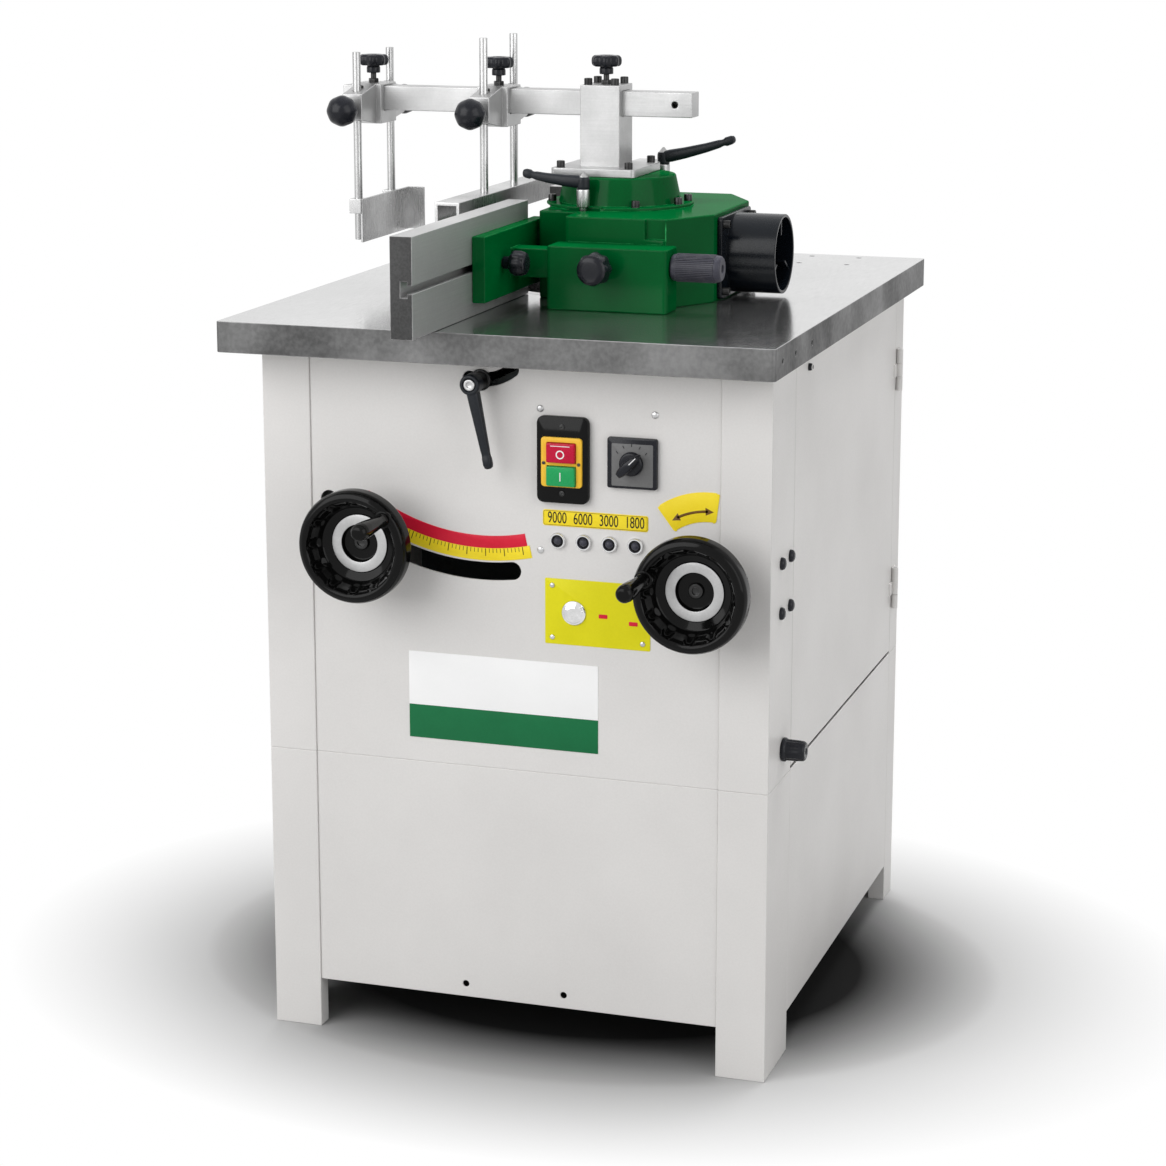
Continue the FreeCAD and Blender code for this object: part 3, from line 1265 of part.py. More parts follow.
def lever_arm(length, rise, root_width, tip_width):
    # A tapered arm along +X from the hub's middle, seen from the side it climbs by rise.
    thick = root_width * LEVER_THICK_SHARE
    tip_thick = tip_width * LEVER_THICK_SHARE
    sections = []
    for x, z, width, deep in ((0, 0, root_width, thick), (length / 2, rise / 2, root_width, thick),
                              (length, rise, tip_width, tip_thick)):
        corners = [V(x, -width / 2, z - deep), V(x, width / 2, z - deep),
                   V(x, width / 2, z + deep), V(x, -width / 2, z + deep)]
        sections.append(Part.makePolygon(corners + corners[:1]))
    return Part.makeLoft(sections, True, True)


def clamp_lever(place, direction, post, length, rise):
    # A lever on a steel post. Its stud goes through the hood's slot into the table.
    x, y = place
    post_foot = DECK + DOME_FLANGE_THICK
    hub_foot = post_foot + post
    hub_top = hub_foot + CLAMP_HUB_HEIGHT
    arm = lever_arm(length, rise, LEVER_ROOT_WIDTH, LEVER_TIP_WIDTH)
    arm.rotate(V(0, 0, 0), V(0, 0, 1), direction)
    arm.translate(V(x, y, hub_foot + CLAMP_HUB_HEIGHT / 2))
    return join([
        rod((x, y, TOP - CLAMP_THREAD), (x, y, post_foot), CLAMP_STUD),
        rod((x, y, post_foot), (x, y, hub_foot), CLAMP_POST),
        cone((x, y, hub_foot), (x, y, hub_top), LEVER_ROOT_WIDTH / 2 + SLIDE_FIT, LEVER_ROOT_WIDTH / 2),
        arm,
    ])


def clamp_lever_front():
    return clamp_lever(CLAMP_FRONT, 180, CLAMP_FRONT_POST, CLAMP_FRONT_LENGTH, CLAMP_FRONT_RISE)


def clamp_lever_rear():
    return clamp_lever(CLAMP_REAR, 0, CLAMP_REAR_POST, CLAMP_REAR_LENGTH, CLAMP_REAR_RISE)


def tilt_lock_lever():
    x, z = LOCK_PLACE
    hub_back = PANEL_FACE - LOCK_STANDOFF
    hub_front = hub_back - LOCK_HUB_LENGTH
    arm = lever_arm(LOCK_LEVER_LENGTH, 0, LEVER_ROOT_WIDTH, LEVER_TIP_WIDTH)
    arm.rotate(V(0, 0, 0), V(1, 0, 0), 90)
    arm.rotate(V(0, 0, 0), V(0, 1, 0), 90 - LOCK_LEVER_ANGLE)
    arm.translate(V(x, (hub_back + hub_front) / 2, z))
    washer = PANEL_FACE - SLIDE_FIT
    return join([
        rod((x, hub_back, z), (x, hub_front, z), LOCK_HUB),
        arm,
        rod((x, hub_back, z), (x, FRONT_PLATE[1], z), LOCK_STUD),
        rod((x, washer, z), (x, washer - LOCK_WASHER_THICK, z), LOCK_WASHER),
        cone((x, washer, z), (x, hub_back, z), LOCK_WASHER * LATCH_TIP_SHARE, LOCK_HUB * LATCH_TIP_SHARE),
    ])


# Lift, spindle and motor

def lift_screw():
    x = HEIGHT_WHEEL[0]
    apex_z = HEIGHT_WHEEL[1]
    foot = TOP - CRADLE_FOOT_DROP
    seat = foot + SCREW_FOOT
    gear = bevel_gear((x, LIFT_SCREW_Y, apex_z), (0, 0, -1), (0, -1, 0), 0.5)
    return join([
        rod((x, LIFT_SCREW_Y, foot), (x, LIFT_SCREW_Y, seat), LIFT_JOURNAL),
        rod((x, LIFT_SCREW_Y, seat), (x, LIFT_SCREW_Y, apex_z - BEVEL_BACK - BEVEL_HUB_LENGTH / 2), LIFT_SCREW),
        gear,
    ])


def spindle_slide():
    left = SPINDLE_X - SLIDE_HALF_WIDTH
    right = SPINDLE_X + SLIDE_HALF_WIDTH
    back = SLIDE_FACE + SLIDE_THICK
    screw_x = HEIGHT_WHEEL[0]
    nut_z = TOP - NUT_DROP
    arm_x = (SPINDLE_X - ARM_HALF_WIDTH, SPINDLE_X + ARM_HALF_WIDTH)
    pieces = [
        box(left, right, SLIDE_FACE, back, SLIDE_FOOT, SLIDE_TOP),
        box(SPINDLE_X - BARREL_RADIUS, SPINDLE_X + BARREL_RADIUS, SLIDE_FACE, 0, SLIDE_FOOT, SLIDE_TOP - BARREL_INSET),
        rod((SPINDLE_X, 0, SLIDE_FOOT), (SPINDLE_X, 0, SLIDE_TOP - BARREL_INSET), BARREL_RADIUS),
        box(*arm_x, 0, MOTOR_Y + MOTOR_RADIUS, SLIDE_FOOT, MOTOR_FOOT),
        box(SPINDLE_X - ARM_THICK, SPINDLE_X + ARM_THICK, 0, MOTOR_Y - MOTOR_RADIUS - ARM_THICK,
            SLIDE_FOOT, SLIDE_FOOT + SLIDE_HEIGHT / 2),
        box(screw_x - NUT_HALF, SPINDLE_X, LIFT_SCREW_Y - NUT_HALF, LIFT_SCREW_Y + NUT_HALF,
            nut_z - NUT_HEIGHT, nut_z),
    ]
    tools = [
        rod((SPINDLE_X, 0, SLIDE_FOOT - OVERRUN), (SPINDLE_X, 0, SLIDE_TOP + OVERRUN), QUILL_RADIUS + SEAT_FIT),
        rod((SPINDLE_X, MOTOR_Y, SLIDE_FOOT - OVERRUN), (SPINDLE_X, MOTOR_Y, SLIDE_TOP), 2 * MOTOR_SHAFT),
        rod((screw_x, LIFT_SCREW_Y, nut_z - OVERRUN), (screw_x, LIFT_SCREW_Y, nut_z + OVERRUN),
            LIFT_SCREW + RUN_FIT),
    ]
    return cut(join(pieces), tools + slide_ways(SLIDE_FIT, OVERRUN))


def quill_housing():
    # The quill tube and its two bearings.
    def along(z0, z1, radius):
        return rod((SPINDLE_X, 0, z0), (SPINDLE_X, 0, z1), radius)

    seat = BEARING_WIDTH + BEARING_INSET
    tube = cut(along(QUILL_FOOT, QUILL_TOP, QUILL_RADIUS), [
        along(QUILL_FOOT - OVERRUN, QUILL_TOP + OVERRUN, QUILL_BORE),
        along(QUILL_FOOT - OVERRUN, QUILL_FOOT + seat, BEARING_RADIUS),
        along(QUILL_TOP - seat, QUILL_TOP + OVERRUN, BEARING_RADIUS),
    ])
    bearings = []
    for z0 in (QUILL_FOOT + BEARING_INSET, QUILL_TOP - seat):
        race = along(z0, z0 + BEARING_WIDTH, BEARING_RADIUS - SEAT_FIT)
        bearings.append(race.cut(along(z0 - OVERRUN, z0 + seat + OVERRUN, SPINDLE_RADIUS + RUN_FIT)))
    return group([tube] + bearings)


def spindle_shaft():
    def along(z0, z1, radius):
        return rod((SPINDLE_X, 0, z0), (SPINDLE_X, 0, z1), radius)

    return join([
        along(PULLEY_FOOT, PULLEY_TOP, SPINDLE_TAIL),
        along(PULLEY_TOP, ARBOR_FOOT - FLANGE_THICK, SPINDLE_RADIUS),
        along(ARBOR_FOOT - FLANGE_THICK, ARBOR_FOOT, FLANGE_RADIUS),
        along(ARBOR_FOOT, ARBOR_FOOT + ARBOR_LENGTH, ARBOR_RADIUS),
    ])


def spindle_collars():
    # Spacing rings on the arbor under a washer and cap screw.
    pieces = []
    z = ARBOR_FOOT
    for height in COLLAR_HEIGHTS:
        ring = rod((SPINDLE_X, 0, z), (SPINDLE_X, 0, z + height), COLLAR_RADIUS)
        bore = rod((SPINDLE_X, 0, z - OVERRUN), (SPINDLE_X, 0, z + height + OVERRUN), ARBOR_RADIUS + SEAT_FIT)
        pieces.append(ring.cut(bore))
        z += height
    z = max(z, ARBOR_FOOT + ARBOR_LENGTH)
    pieces.append(join([
        rod((SPINDLE_X, 0, z), (SPINDLE_X, 0, z + CAP_WASHER), COLLAR_RADIUS),
        rod((SPINDLE_X, 0, z + CAP_WASHER), (SPINDLE_X, 0, z + CAP_WASHER + CAP_SCREW_HEIGHT), CAP_SCREW_RADIUS),
    ]))
    return group(pieces)


def pulley_radii(speed):
    # Spindle and motor pulley radii for one belt step, from a fixed sum of diameters.
    ratio = speed / MOTOR_SPEED
    spindle = PULLEY_SUM / (1 + ratio) / 2
    return spindle, PULLEY_SUM / 2 - spindle


def step_pulley(y, which, bore):
    steps = []
    for index, speed in enumerate(SPINDLE_SPEEDS):
        z1 = PULLEY_TOP - index * PULLEY_STEP
        steps.append(rod((SPINDLE_X, y, z1 - PULLEY_STEP), (SPINDLE_X, y, z1), pulley_radii(speed)[which]))
    hole = rod((SPINDLE_X, y, PULLEY_FOOT - OVERRUN), (SPINDLE_X, y, PULLEY_TOP + OVERRUN), bore + SEAT_FIT)
    return join(steps).cut(hole)


def spindle_pulley():
    return step_pulley(0, 0, SPINDLE_TAIL)


def motor_pulley():
    shaft = rod((SPINDLE_X, MOTOR_Y, PULLEY_FOOT), (SPINDLE_X, MOTOR_Y, MOTOR_FOOT + MOTOR_SHAFT_SEAT), MOTOR_SHAFT)
    return group([step_pulley(MOTOR_Y, 1, MOTOR_SHAFT), shaft])


def belt_loop(grow, z0, z1):
    # The closed outline round both pulleys of the chosen step, grown by one distance.
    small, large = pulley_radii(SPINDLE_SPEEDS[BELT_STEP_COUNT])
    lean = math.asin((large - small) / MOTOR_Y)
    discs = []
    points = []
    for y, radius in ((0, small + grow), (MOTOR_Y, large + grow)):
        discs.append(rod((SPINDLE_X, y, z0), (SPINDLE_X, y, z1), radius))
        points.append((radius * math.cos(lean), y - radius * math.sin(lean)))
    (ax, ay), (bx, by) = points
    outline = [(SPINDLE_X + ax, ay), (SPINDLE_X + bx, by), (SPINDLE_X - bx, by), (SPINDLE_X - ax, ay)]
    return join([prism_xy(outline, z0, z1)] + discs)


def drive_belt():
    middle = PULLEY_TOP - (BELT_STEP_COUNT + 0.5) * PULLEY_STEP
    z0 = middle - BELT_WIDTH / 2
    z1 = middle + BELT_WIDTH / 2
    return belt_loop(SLIDE_FIT + BELT_THICK, z0, z1).cut(belt_loop(SLIDE_FIT, z0 - OVERRUN, z1 + OVERRUN))


def motor_housing():
    # Finned motor body with end shields and a fan cover, standing on the slide's arm.
    def along(z0, z1, radius):
        return rod((SPINDLE_X, MOTOR_Y, z0), (SPINDLE_X, MOTOR_Y, z1), radius)

    top = MOTOR_FOOT + MOTOR_LENGTH
    body = along(MOTOR_FOOT, top, MOTOR_RADIUS)
    grooves = []
    groove = box(SPINDLE_X + MOTOR_RADIUS - MOTOR_FIN_DEPTH, SPINDLE_X + MOTOR_RADIUS + OVERRUN,
                 MOTOR_Y - MOTOR_FIN_GAP / 2, MOTOR_Y + MOTOR_FIN_GAP / 2, MOTOR_FOOT + MOTOR_END, top - MOTOR_END)
    for index in range(MOTOR_FIN_COUNT):
        grooves.append(turned(groove, (SPINDLE_X, MOTOR_Y, 0), (0, 0, 1), index * 360 / MOTOR_FIN_COUNT))
    fan = cone((SPINDLE_X, MOTOR_Y, top), (SPINDLE_X, MOTOR_Y, top + MOTOR_FAN),
               MOTOR_RADIUS - MOTOR_FIN_DEPTH, MOTOR_RADIUS - 2 * MOTOR_FIN_DEPTH)
    bore = along(MOTOR_FOOT - OVERRUN, MOTOR_FOOT + MOTOR_SHAFT_SEAT + SLIDE_FIT, MOTOR_SHAFT + RUN_FIT)
    return cut(join([body, fan]), grooves + [bore])


# Fence hood and its fittings

def hood_outline(inset):
    # The hood seen from above: square at the mouth, with both right-hand corners cut off.
    depth = HOOD_HALF_DEPTH - inset
    right = HOOD_RIGHT - inset
    return [
        (HOOD_LEFT + inset, -depth), (HOOD_CORNER_X, -depth), (right, -HOOD_CORNER_Y),
        (right, HOOD_CORNER_Y), (HOOD_CORNER_X, depth), (HOOD_LEFT + inset, depth),
    ]


def hood_notch(margin):
    # The near left corner is left out, so that the near bracket can move in and out beside the front wall.
    return box(HOOD_LEFT - OVERRUN, NOTCH_X + margin, -HOOD_HALF_DEPTH - OVERRUN, -NOTCH_Y + margin,
               TOP - 2 * OVERRUN, DECK + OVERRUN)


def deck_slot(place):
    # The slot that lets the hood slide under one clamp lever.
    x, y = place
    half = CLAMP_STUD + SLIDE_FIT
    z0 = DECK_UNDER - OVERRUN
    z1 = DECK + OVERRUN
    ends = [rod((x + way * CLAMP_TRAVEL, y, z0), (x + way * CLAMP_TRAVEL, y, z1), half) for way in (-1, 1)]
    return join([box(x - CLAMP_TRAVEL, x + CLAMP_TRAVEL, y - half, y + half, z0, z1)] + ends)


def fence_wing(way):
    # The upright plate that carries one fence plate; way is -1 near the operator.
    return box(WING_BACK, WING_FRONT, way * WING_INNER, way * WING_OUTER, TOP + WING_RISES[0], TOP + WING_RISES[1])


def wing_stud_hole(way):
    y = way * FENCE_KNOB_Y
    return rod((WING_BACK - OVERRUN, y, FENCE_SLOT_Z), (WING_FRONT + OVERRUN, y, FENCE_SLOT_Z), FENCE_STUD + RUN_FIT)


def hood_casting():
    body = prism_xy(hood_outline(0), TOP, DECK).cut(hood_notch(0))
    body = rounded(body, (0, 0, 1), HOOD_EDGE_ROUND)
    flange = rod((DOME_X, 0, DECK), (DOME_X, 0, DECK + DOME_FLANGE_THICK), DOME_FLANGE)
    dome = cone((DOME_X, 0, DECK), (DOME_X, 0, DOME_PEAK), DOME_BASE, DOME_TOP)
    housing = box(HOUSING_LEFT, HOUSING_RIGHT, HOUSING_FRONT, -HOOD_HALF_DEPTH, TOP, TOP + HOUSING_RISE)
    housing = rounded(housing, (0, 0, 1), HOOD_EDGE_ROUND)
    web = box(WING_BACK, HOOD_LEFT + HOOD_WALL, MOUTH_HALF, HOOD_HALF_DEPTH - HOOD_WALL,
              TOP + WING_RISES[0], TOP + WING_RISES[1])
    body = join([body, flange, dome, housing, fence_wing(1), web])
    tools = [
        prism_xy(hood_outline(HOOD_WALL), TOP - OVERRUN, DECK_UNDER).cut(hood_notch(HOOD_WALL)),
        box(HOOD_LEFT - OVERRUN, HOOD_LEFT + 2 * HOOD_WALL, -MOUTH_HALF, MOUTH_HALF,
            TOP - OVERRUN, DECK_UNDER).cut(fence_wing(1)),
        cone((DOME_X, 0, DECK_UNDER - SLIDE_FIT), (DOME_X, 0, DOME_PEAK - DOME_WALL),
             DOME_BASE - DOME_WALL, DOME_TOP - DOME_WALL),
        box(RECESS_X - RECESS_WIDTH / 2, RECESS_X + RECESS_WIDTH / 2, -HOOD_HALF_DEPTH - OVERRUN,
            -HOOD_HALF_DEPTH + RECESS_DEPTH, TOP + HOUSING_RISE + RECESS_FOOT, DECK + OVERRUN),
        rod((HOOD_RIGHT - OVERRUN, 0, PORT_Z), (HOOD_RIGHT + OVERRUN, 0, PORT_Z), PORT_HOLE),
        deck_slot(CLAMP_FRONT),
        deck_slot(CLAMP_REAR),
        arm_space(SLIDE_FIT, HOUSING_LEFT - OVERRUN, HOUSING_RIGHT - HOUSING_END),
        rod((ARM_REACH - OVERRUN, ARM_Y, ARM_Z), (HOUSING_RIGHT + OVERRUN, ARM_Y, ARM_Z), FINE_SCREW + RUN_FIT),
        rod((LOCK_KNOB_X, HOUSING_FRONT - OVERRUN, ARM_Z), (LOCK_KNOB_X, ARM_Y, ARM_Z), LOCK_KNOB_STUD + RUN_FIT),
        wing_stud_hole(1),
    ]
    return cut(body, tools)


def arm_space(margin, x0, x1):
    half_w = ARM_WIDTH / 2 + margin
    half_h = ARM_HEIGHT / 2 + margin
    return box(x0, x1, ARM_Y - half_w, ARM_Y + half_w, ARM_Z - half_h, ARM_Z + half_h)


def dust_port():
    def along(x0, x1, radius):
        return rod((x0, 0, PORT_Z), (x1, 0, PORT_Z), radius)

    tube_start = HOOD_RIGHT + PORT_FLANGE
    tip = tube_start + PORT_LENGTH
    flange = box(HOOD_RIGHT, tube_start, -PORT_FLANGE_WIDTH / 2, PORT_FLANGE_WIDTH / 2,
                 PORT_Z - PORT_FLANGE_HEIGHT / 2, PORT_Z + PORT_FLANGE_HEIGHT / 2)
    tube = join([rounded(flange, (1, 0, 0), HOOD_EDGE_ROUND), along(HOOD_RIGHT, tip, PORT_RADIUS)])
    tube = tube.cut(along(HOOD_RIGHT - OVERRUN, tip + OVERRUN, PORT_RADIUS - PORT_WALL))
    wall = PORT_Z + PORT_RADIUS - PORT_WALL
    web = box(tube_start, tube_start + PORT_WEB_DEPTH, -PORT_WEB / 2, PORT_WEB / 2,
              wall - PORT_WEB_HEIGHT, wall + PORT_WALL / 2)
    webs = [turned(web, (0, 0, PORT_Z), (1, 0, 0), index * 120) for index in range(3)]
    return join([tube] + webs)


def press_post():
    x0 = POST_X - POST_WIDTH / 2
    x1 = POST_X + POST_WIDTH / 2
    base = box(POST_X - POST_BASE_WIDTH / 2, POST_X + POST_BASE_WIDTH / 2, -POST_BASE_DEPTH / 2, POST_BASE_DEPTH / 2,
               DOME_PEAK, DOME_PEAK + POST_BASE_THICK)
    base = rounded(base, (0, 0, 1), HOOD_EDGE_ROUND)
    post = box(x0, x1, -POST_DEPTH / 2, POST_DEPTH / 2, DOME_PEAK + POST_BASE_THICK, POST_TOP)
    bore = bar_space(SLIDE_FIT, x0 - OVERRUN, x1 + OVERRUN)
    stud = rod((POST_X, 0, BAR_Z), (POST_X, 0, POST_TOP + OVERRUN), STAR_STUD + RUN_FIT)
    return cut(join([base, post]), [bore, stud])


def bar_space(margin, x0, x1):
    half = BAR_SIZE / 2 + margin
    return box(x0, x1, -half, half, BAR_Z - half, BAR_Z + half)


def cap_screw(x, y, z, axis=(0, 0, 1)):
    end = (x + axis[0] * SCREW_HEIGHT, y + axis[1] * SCREW_HEIGHT, z + axis[2] * SCREW_HEIGHT)
    return rod((x, y, z), end, SCREW_RADIUS)


def hood_screws():
    # Socket cap screws of the post's base and top, the dome flange and the dust port.
    pieces = []
    for i in (-1, 1):
        for j in (-1, 1):
            pieces.append(cap_screw(POST_X + i * (POST_BASE_WIDTH / 2 - SCREW_INSET),
                                    j * (POST_BASE_DEPTH / 2 - SCREW_INSET), DOME_PEAK + POST_BASE_THICK))
            pieces.append(cap_screw(POST_X + i * (POST_WIDTH / 2 - POST_SCREW_INSET),
                                    j * (POST_DEPTH / 2 - POST_SCREW_INSET), POST_TOP))
            pieces.append(cap_screw(HOOD_RIGHT + PORT_FLANGE, i * (PORT_FLANGE_WIDTH / 2 - PORT_SCREW_INSET),
                                    PORT_Z + j * (PORT_FLANGE_HEIGHT / 2 - PORT_SCREW_INSET), (1, 0, 0)))
    for angle in DOME_SCREW_ANGLES:
        radius = (DOME_FLANGE + DOME_BASE) / 2
        x = DOME_X + radius * math.cos(math.radians(angle))
        y = radius * math.sin(math.radians(angle))
        pieces.append(cap_screw(x, y, DECK + DOME_FLANGE_THICK))
    return group(pieces)


# Fence plates and their adjusters

def near_fence_bracket():
    arm = arm_space(0, WING_FRONT, ARM_REACH)
    blind_end = ARM_REACH - HOUSING_END - FINE_SPARE
    screw = rod((blind_end, ARM_Y, ARM_Z), (ARM_REACH + OVERRUN, ARM_Y, ARM_Z), FINE_SCREW + RUN_FIT)
    return cut(join([fence_wing(-1), arm]), [wing_stud_hole(-1), screw])


def fine_adjust_knob():
    start = HOUSING_RIGHT + FINE_KNOB_GAP
    return join([
        rod((start, ARM_Y, ARM_Z), (start + FINE_KNOB_LENGTH, ARM_Y, ARM_Z), FINE_KNOB),
        rod((ARM_REACH - HOUSING_END, ARM_Y, ARM_Z), (start, ARM_Y, ARM_Z), FINE_SCREW),
    ])


def mushroom_knob(place, way, radius, length, stud, stud_length):
    # A round knob: way is the unit direction from its foot to its head.
    foot = V(*place)
    way = V(*way)
    neck_end = foot + way * (length / 3)
    head_end = foot + way * length
    head = cone(tuple(neck_end), tuple(head_end), radius, radius * LATCH_TIP_SHARE)
    round_radius = radius * KNOB_ROUND_SHARE
    head = head.makeFillet(round_radius, [e for e in head.Edges if isinstance(e.Curve, Part.Circle)])
    neck = rod(tuple(foot), tuple(neck_end + way * round_radius), radius / 2)
    shank = rod(tuple(foot - way * stud_length), tuple(foot), stud)
    return join([head, neck, shank])


def bracket_lock_knob():
    foot = (LOCK_KNOB_X, HOUSING_FRONT - FINE_KNOB_GAP, ARM_Z)
    reach = HOUSING_DEPTH / 2 - ARM_WIDTH / 2 + FINE_KNOB_GAP - SLIDE_FIT
    return mushroom_knob(foot, (0, -1, 0), LOCK_KNOB, LOCK_KNOB_LENGTH, LOCK_KNOB_STUD, reach)


def fence_plate(way):
    y0 = way * FENCE_INNER
    y1 = way * (FENCE_INNER + FENCE_LENGTH)
    z0 = TOP + FENCE_LIFT
    plate = box(FENCE_FACE, WING_BACK, y0, y1, z0, z0 + FENCE_HEIGHT)
    low = min(y0, y1) - OVERRUN
    high = max(y0, y1) + OVERRUN
    neck = box(WING_BACK - FENCE_SLOT_DEPTH, WING_BACK + OVERRUN, low, high,
               FENCE_SLOT_Z - FENCE_SLOT / 2, FENCE_SLOT_Z + FENCE_SLOT / 2)
    tee = box(WING_BACK - FENCE_TEE_DEPTH, WING_BACK - FENCE_SLOT_DEPTH, low, high,
              FENCE_SLOT_Z - FENCE_TEE / 2, FENCE_SLOT_Z + FENCE_TEE / 2)
    return cut(plate, [neck, tee])


def near_fence_plate():
    return fence_plate(-1)


def far_fence_plate():
    return fence_plate(1)


def fence_knob(way):
    # A clamping knob whose round-headed bolt runs in the fence plate's tee slot.
    y = way * FENCE_KNOB_Y
    foot = (WING_FRONT + FINE_KNOB_GAP, y, FENCE_SLOT_Z)
    reach = WING_THICK + FINE_KNOB_GAP + FENCE_SLOT_DEPTH + SLIDE_FIT
    knob = mushroom_knob(foot, (1, 0, 0), FENCE_KNOB, FENCE_KNOB_LENGTH, FENCE_STUD, reach)
    head_x = WING_BACK - FENCE_SLOT_DEPTH - SLIDE_FIT
    head_length = FENCE_TEE_DEPTH - FENCE_SLOT_DEPTH - 2 * SLIDE_FIT
    head = rod((head_x, y, FENCE_SLOT_Z), (head_x - head_length, y, FENCE_SLOT_Z), FENCE_TEE / 2 - SLIDE_FIT)
    return join([knob, head])


def near_fence_knob():
    return fence_knob(-1)


def far_fence_knob():
    return fence_knob(1)


# Pressure bar, carriers and shoes

def pressure_bar():
    half = BAR_SIZE / 2
    inner = half - BAR_WALL
    tube = box(BAR_LEFT, BAR_RIGHT, -half, half, BAR_Z - half, BAR_Z + half)
    hollow = box(BAR_LEFT - OVERRUN, BAR_RIGHT - BAR_CAP, -inner, inner, BAR_Z - inner, BAR_Z + inner)
    hole_x = BAR_RIGHT - BAR_HOLE_INSET
    hole = rod((hole_x, -BAR_SIZE, BAR_Z), (hole_x, BAR_SIZE, BAR_Z), BAR_HOLE)
    return cut(tube, [hollow, hole])


def star_knob(x, foot):
    # A lobed clamping knob above a seat at the given height; its stud ends at the bar's top.
    neck = foot + STAR_STUD_LENGTH
    head = neck + STAR_NECK_HEIGHT
    disc = rod((x, 0, head), (x, 0, head + STAR_HEIGHT), STAR_RADIUS)
    notches = []
    for index in range(STAR_LOBES):
        angle = math.radians(index * 360 / STAR_LOBES)
        nx = x + STAR_RADIUS * STAR_NOTCH_SHARE * math.cos(angle)
        ny = STAR_RADIUS * STAR_NOTCH_SHARE * math.sin(angle)
        notches.append(rod((nx, ny, head - OVERRUN), (nx, ny, head + STAR_HEIGHT + OVERRUN), STAR_NOTCH))
    bar_top = BAR_Z + BAR_SIZE / 2 + SLIDE_FIT
    return join([
        cut(disc, notches),
        rod((x, 0, neck), (x, 0, head), STAR_NECK),
        rod((x, 0, bar_top), (x, 0, neck), STAR_STUD),
    ])


def bar_knob():
    return star_knob(POST_X, POST_TOP)


def carrier_arm_heights():
    top = BAR_Z + CARRIER_TOP
    height = CARRIER_TOP + CARRIER_FOOT
    return top - height * CARRIER_ARM_FOOT_SHARE, top - height * CARRIER_ARM_TOP_SHARE


def carrier(x):
    # A cross block on the bar with two arms that grip a pair of rods.
    top = BAR_Z + CARRIER_TOP
    foot = BAR_Z - CARRIER_FOOT
    arm_foot, arm_top = carrier_arm_heights()
    half = CARRIER_DEPTH / 2
    block = box(x - CARRIER_WIDTH / 2, x + CARRIER_WIDTH / 2, -half, half, foot, top)
    outline = [
        (-CARRIER_ARM_REACH, arm_foot), (-half, foot), (half, foot), (CARRIER_ARM_REACH, arm_foot),
        (CARRIER_ARM_REACH, arm_top), (half, top), (-half, top), (-CARRIER_ARM_REACH, arm_top),
    ]
    arms = prism_yz(outline, x - CARRIER_ARM / 2, x + CARRIER_ARM / 2)
    ball_z = BAR_Z - BALL_DROP
    tools = [
        bar_space(SLIDE_FIT, x - CARRIER_WIDTH, x + CARRIER_WIDTH),
        rod((x, 0, BAR_Z), (x, 0, top + OVERRUN), STAR_STUD + RUN_FIT),
    ]
    for way in (-1, 1):
        y = way * ROD_Y
        tools.append(rod((x, y, foot - OVERRUN), (x, y, top + OVERRUN), ROD_RADIUS + RUN_FIT))
        tools.append(rod((x, y, ball_z), (x, way * (CARRIER_ARM_REACH + OVERRUN), ball_z), BALL_STUD + RUN_FIT))
    return cut(join([block, arms]), tools)


def ball_knob(x, way):
    z = BAR_Z - BALL_DROP
    face = way * CARRIER_ARM_REACH
    inner = way * (ROD_Y + ROD_RADIUS + SLIDE_FIT)
    neck_end = face + way * BALL_NECK_LENGTH
    centre = neck_end + way * BALL_RADIUS * LATCH_TIP_SHARE
    ball = Part.makeSphere(BALL_RADIUS, V(x, centre, z))
    neck = rod((x, face + way * FINE_KNOB_GAP, z), (x, centre, z), BALL_NECK)
    stud = rod((x, inner, z), (x, centre, z), BALL_STUD)
    return join([ball, neck, stud])


def rods(x, rises):
    return [rod((x, way * ROD_Y, TOP + rises[0]), (x, way * ROD_Y, TOP + rises[1]), ROD_RADIUS) for way in (-1, 1)]


def inner_pressure_shoe():
    # Two rods on a channel that presses on the work along the fence.
    x = CARRIER_XS[0]
    half = INNER_SHOE_WIDTH / 2
    z0 = TOP + INNER_SHOE_RISES[0]
    z1 = TOP + INNER_SHOE_RISES[1]
    channel = box(x - half, x + half, -INNER_SHOE_HALF, INNER_SHOE_HALF, z0, z1).cut(
        box(x - half + INNER_SHOE_WALL, x + half - INNER_SHOE_WALL, -INNER_SHOE_HALF - OVERRUN,
            INNER_SHOE_HALF + OVERRUN, z0 - OVERRUN, z1 - INNER_SHOE_WALL))
    return join([channel] + rods(x, INNER_ROD_RISES))


def outer_pressure_shoe():
    # Two rods on an upright sheet whose far end is folded towards the fence.
    x = CARRIER_XS[1]
    z0 = TOP + OUTER_SHOE_RISES[0]
    z1 = TOP + OUTER_SHOE_RISES[1]
    sheet_x = x + ROD_RADIUS
    near, far = OUTER_SHOE_ENDS
    sheet = box(sheet_x, sheet_x + OUTER_SHOE_THICK, near, far, z0, z1)
    fold = box(sheet_x, sheet_x + OUTER_SHOE_FOLD, far - OUTER_SHOE_THICK, far, z0, z1)
    bosses = []
    for way in (-1, 1):
        y = way * ROD_Y
        bosses.append(box(x - OUTER_SHOE_BOSS, sheet_x + OUTER_SHOE_THICK / 2, y - OUTER_SHOE_BOSS, y + OUTER_SHOE_BOSS,
                          z1 - 2 * OUTER_SHOE_BOSS, z1))
    return join([sheet, fold] + bosses + rods(x, OUTER_ROD_RISES))


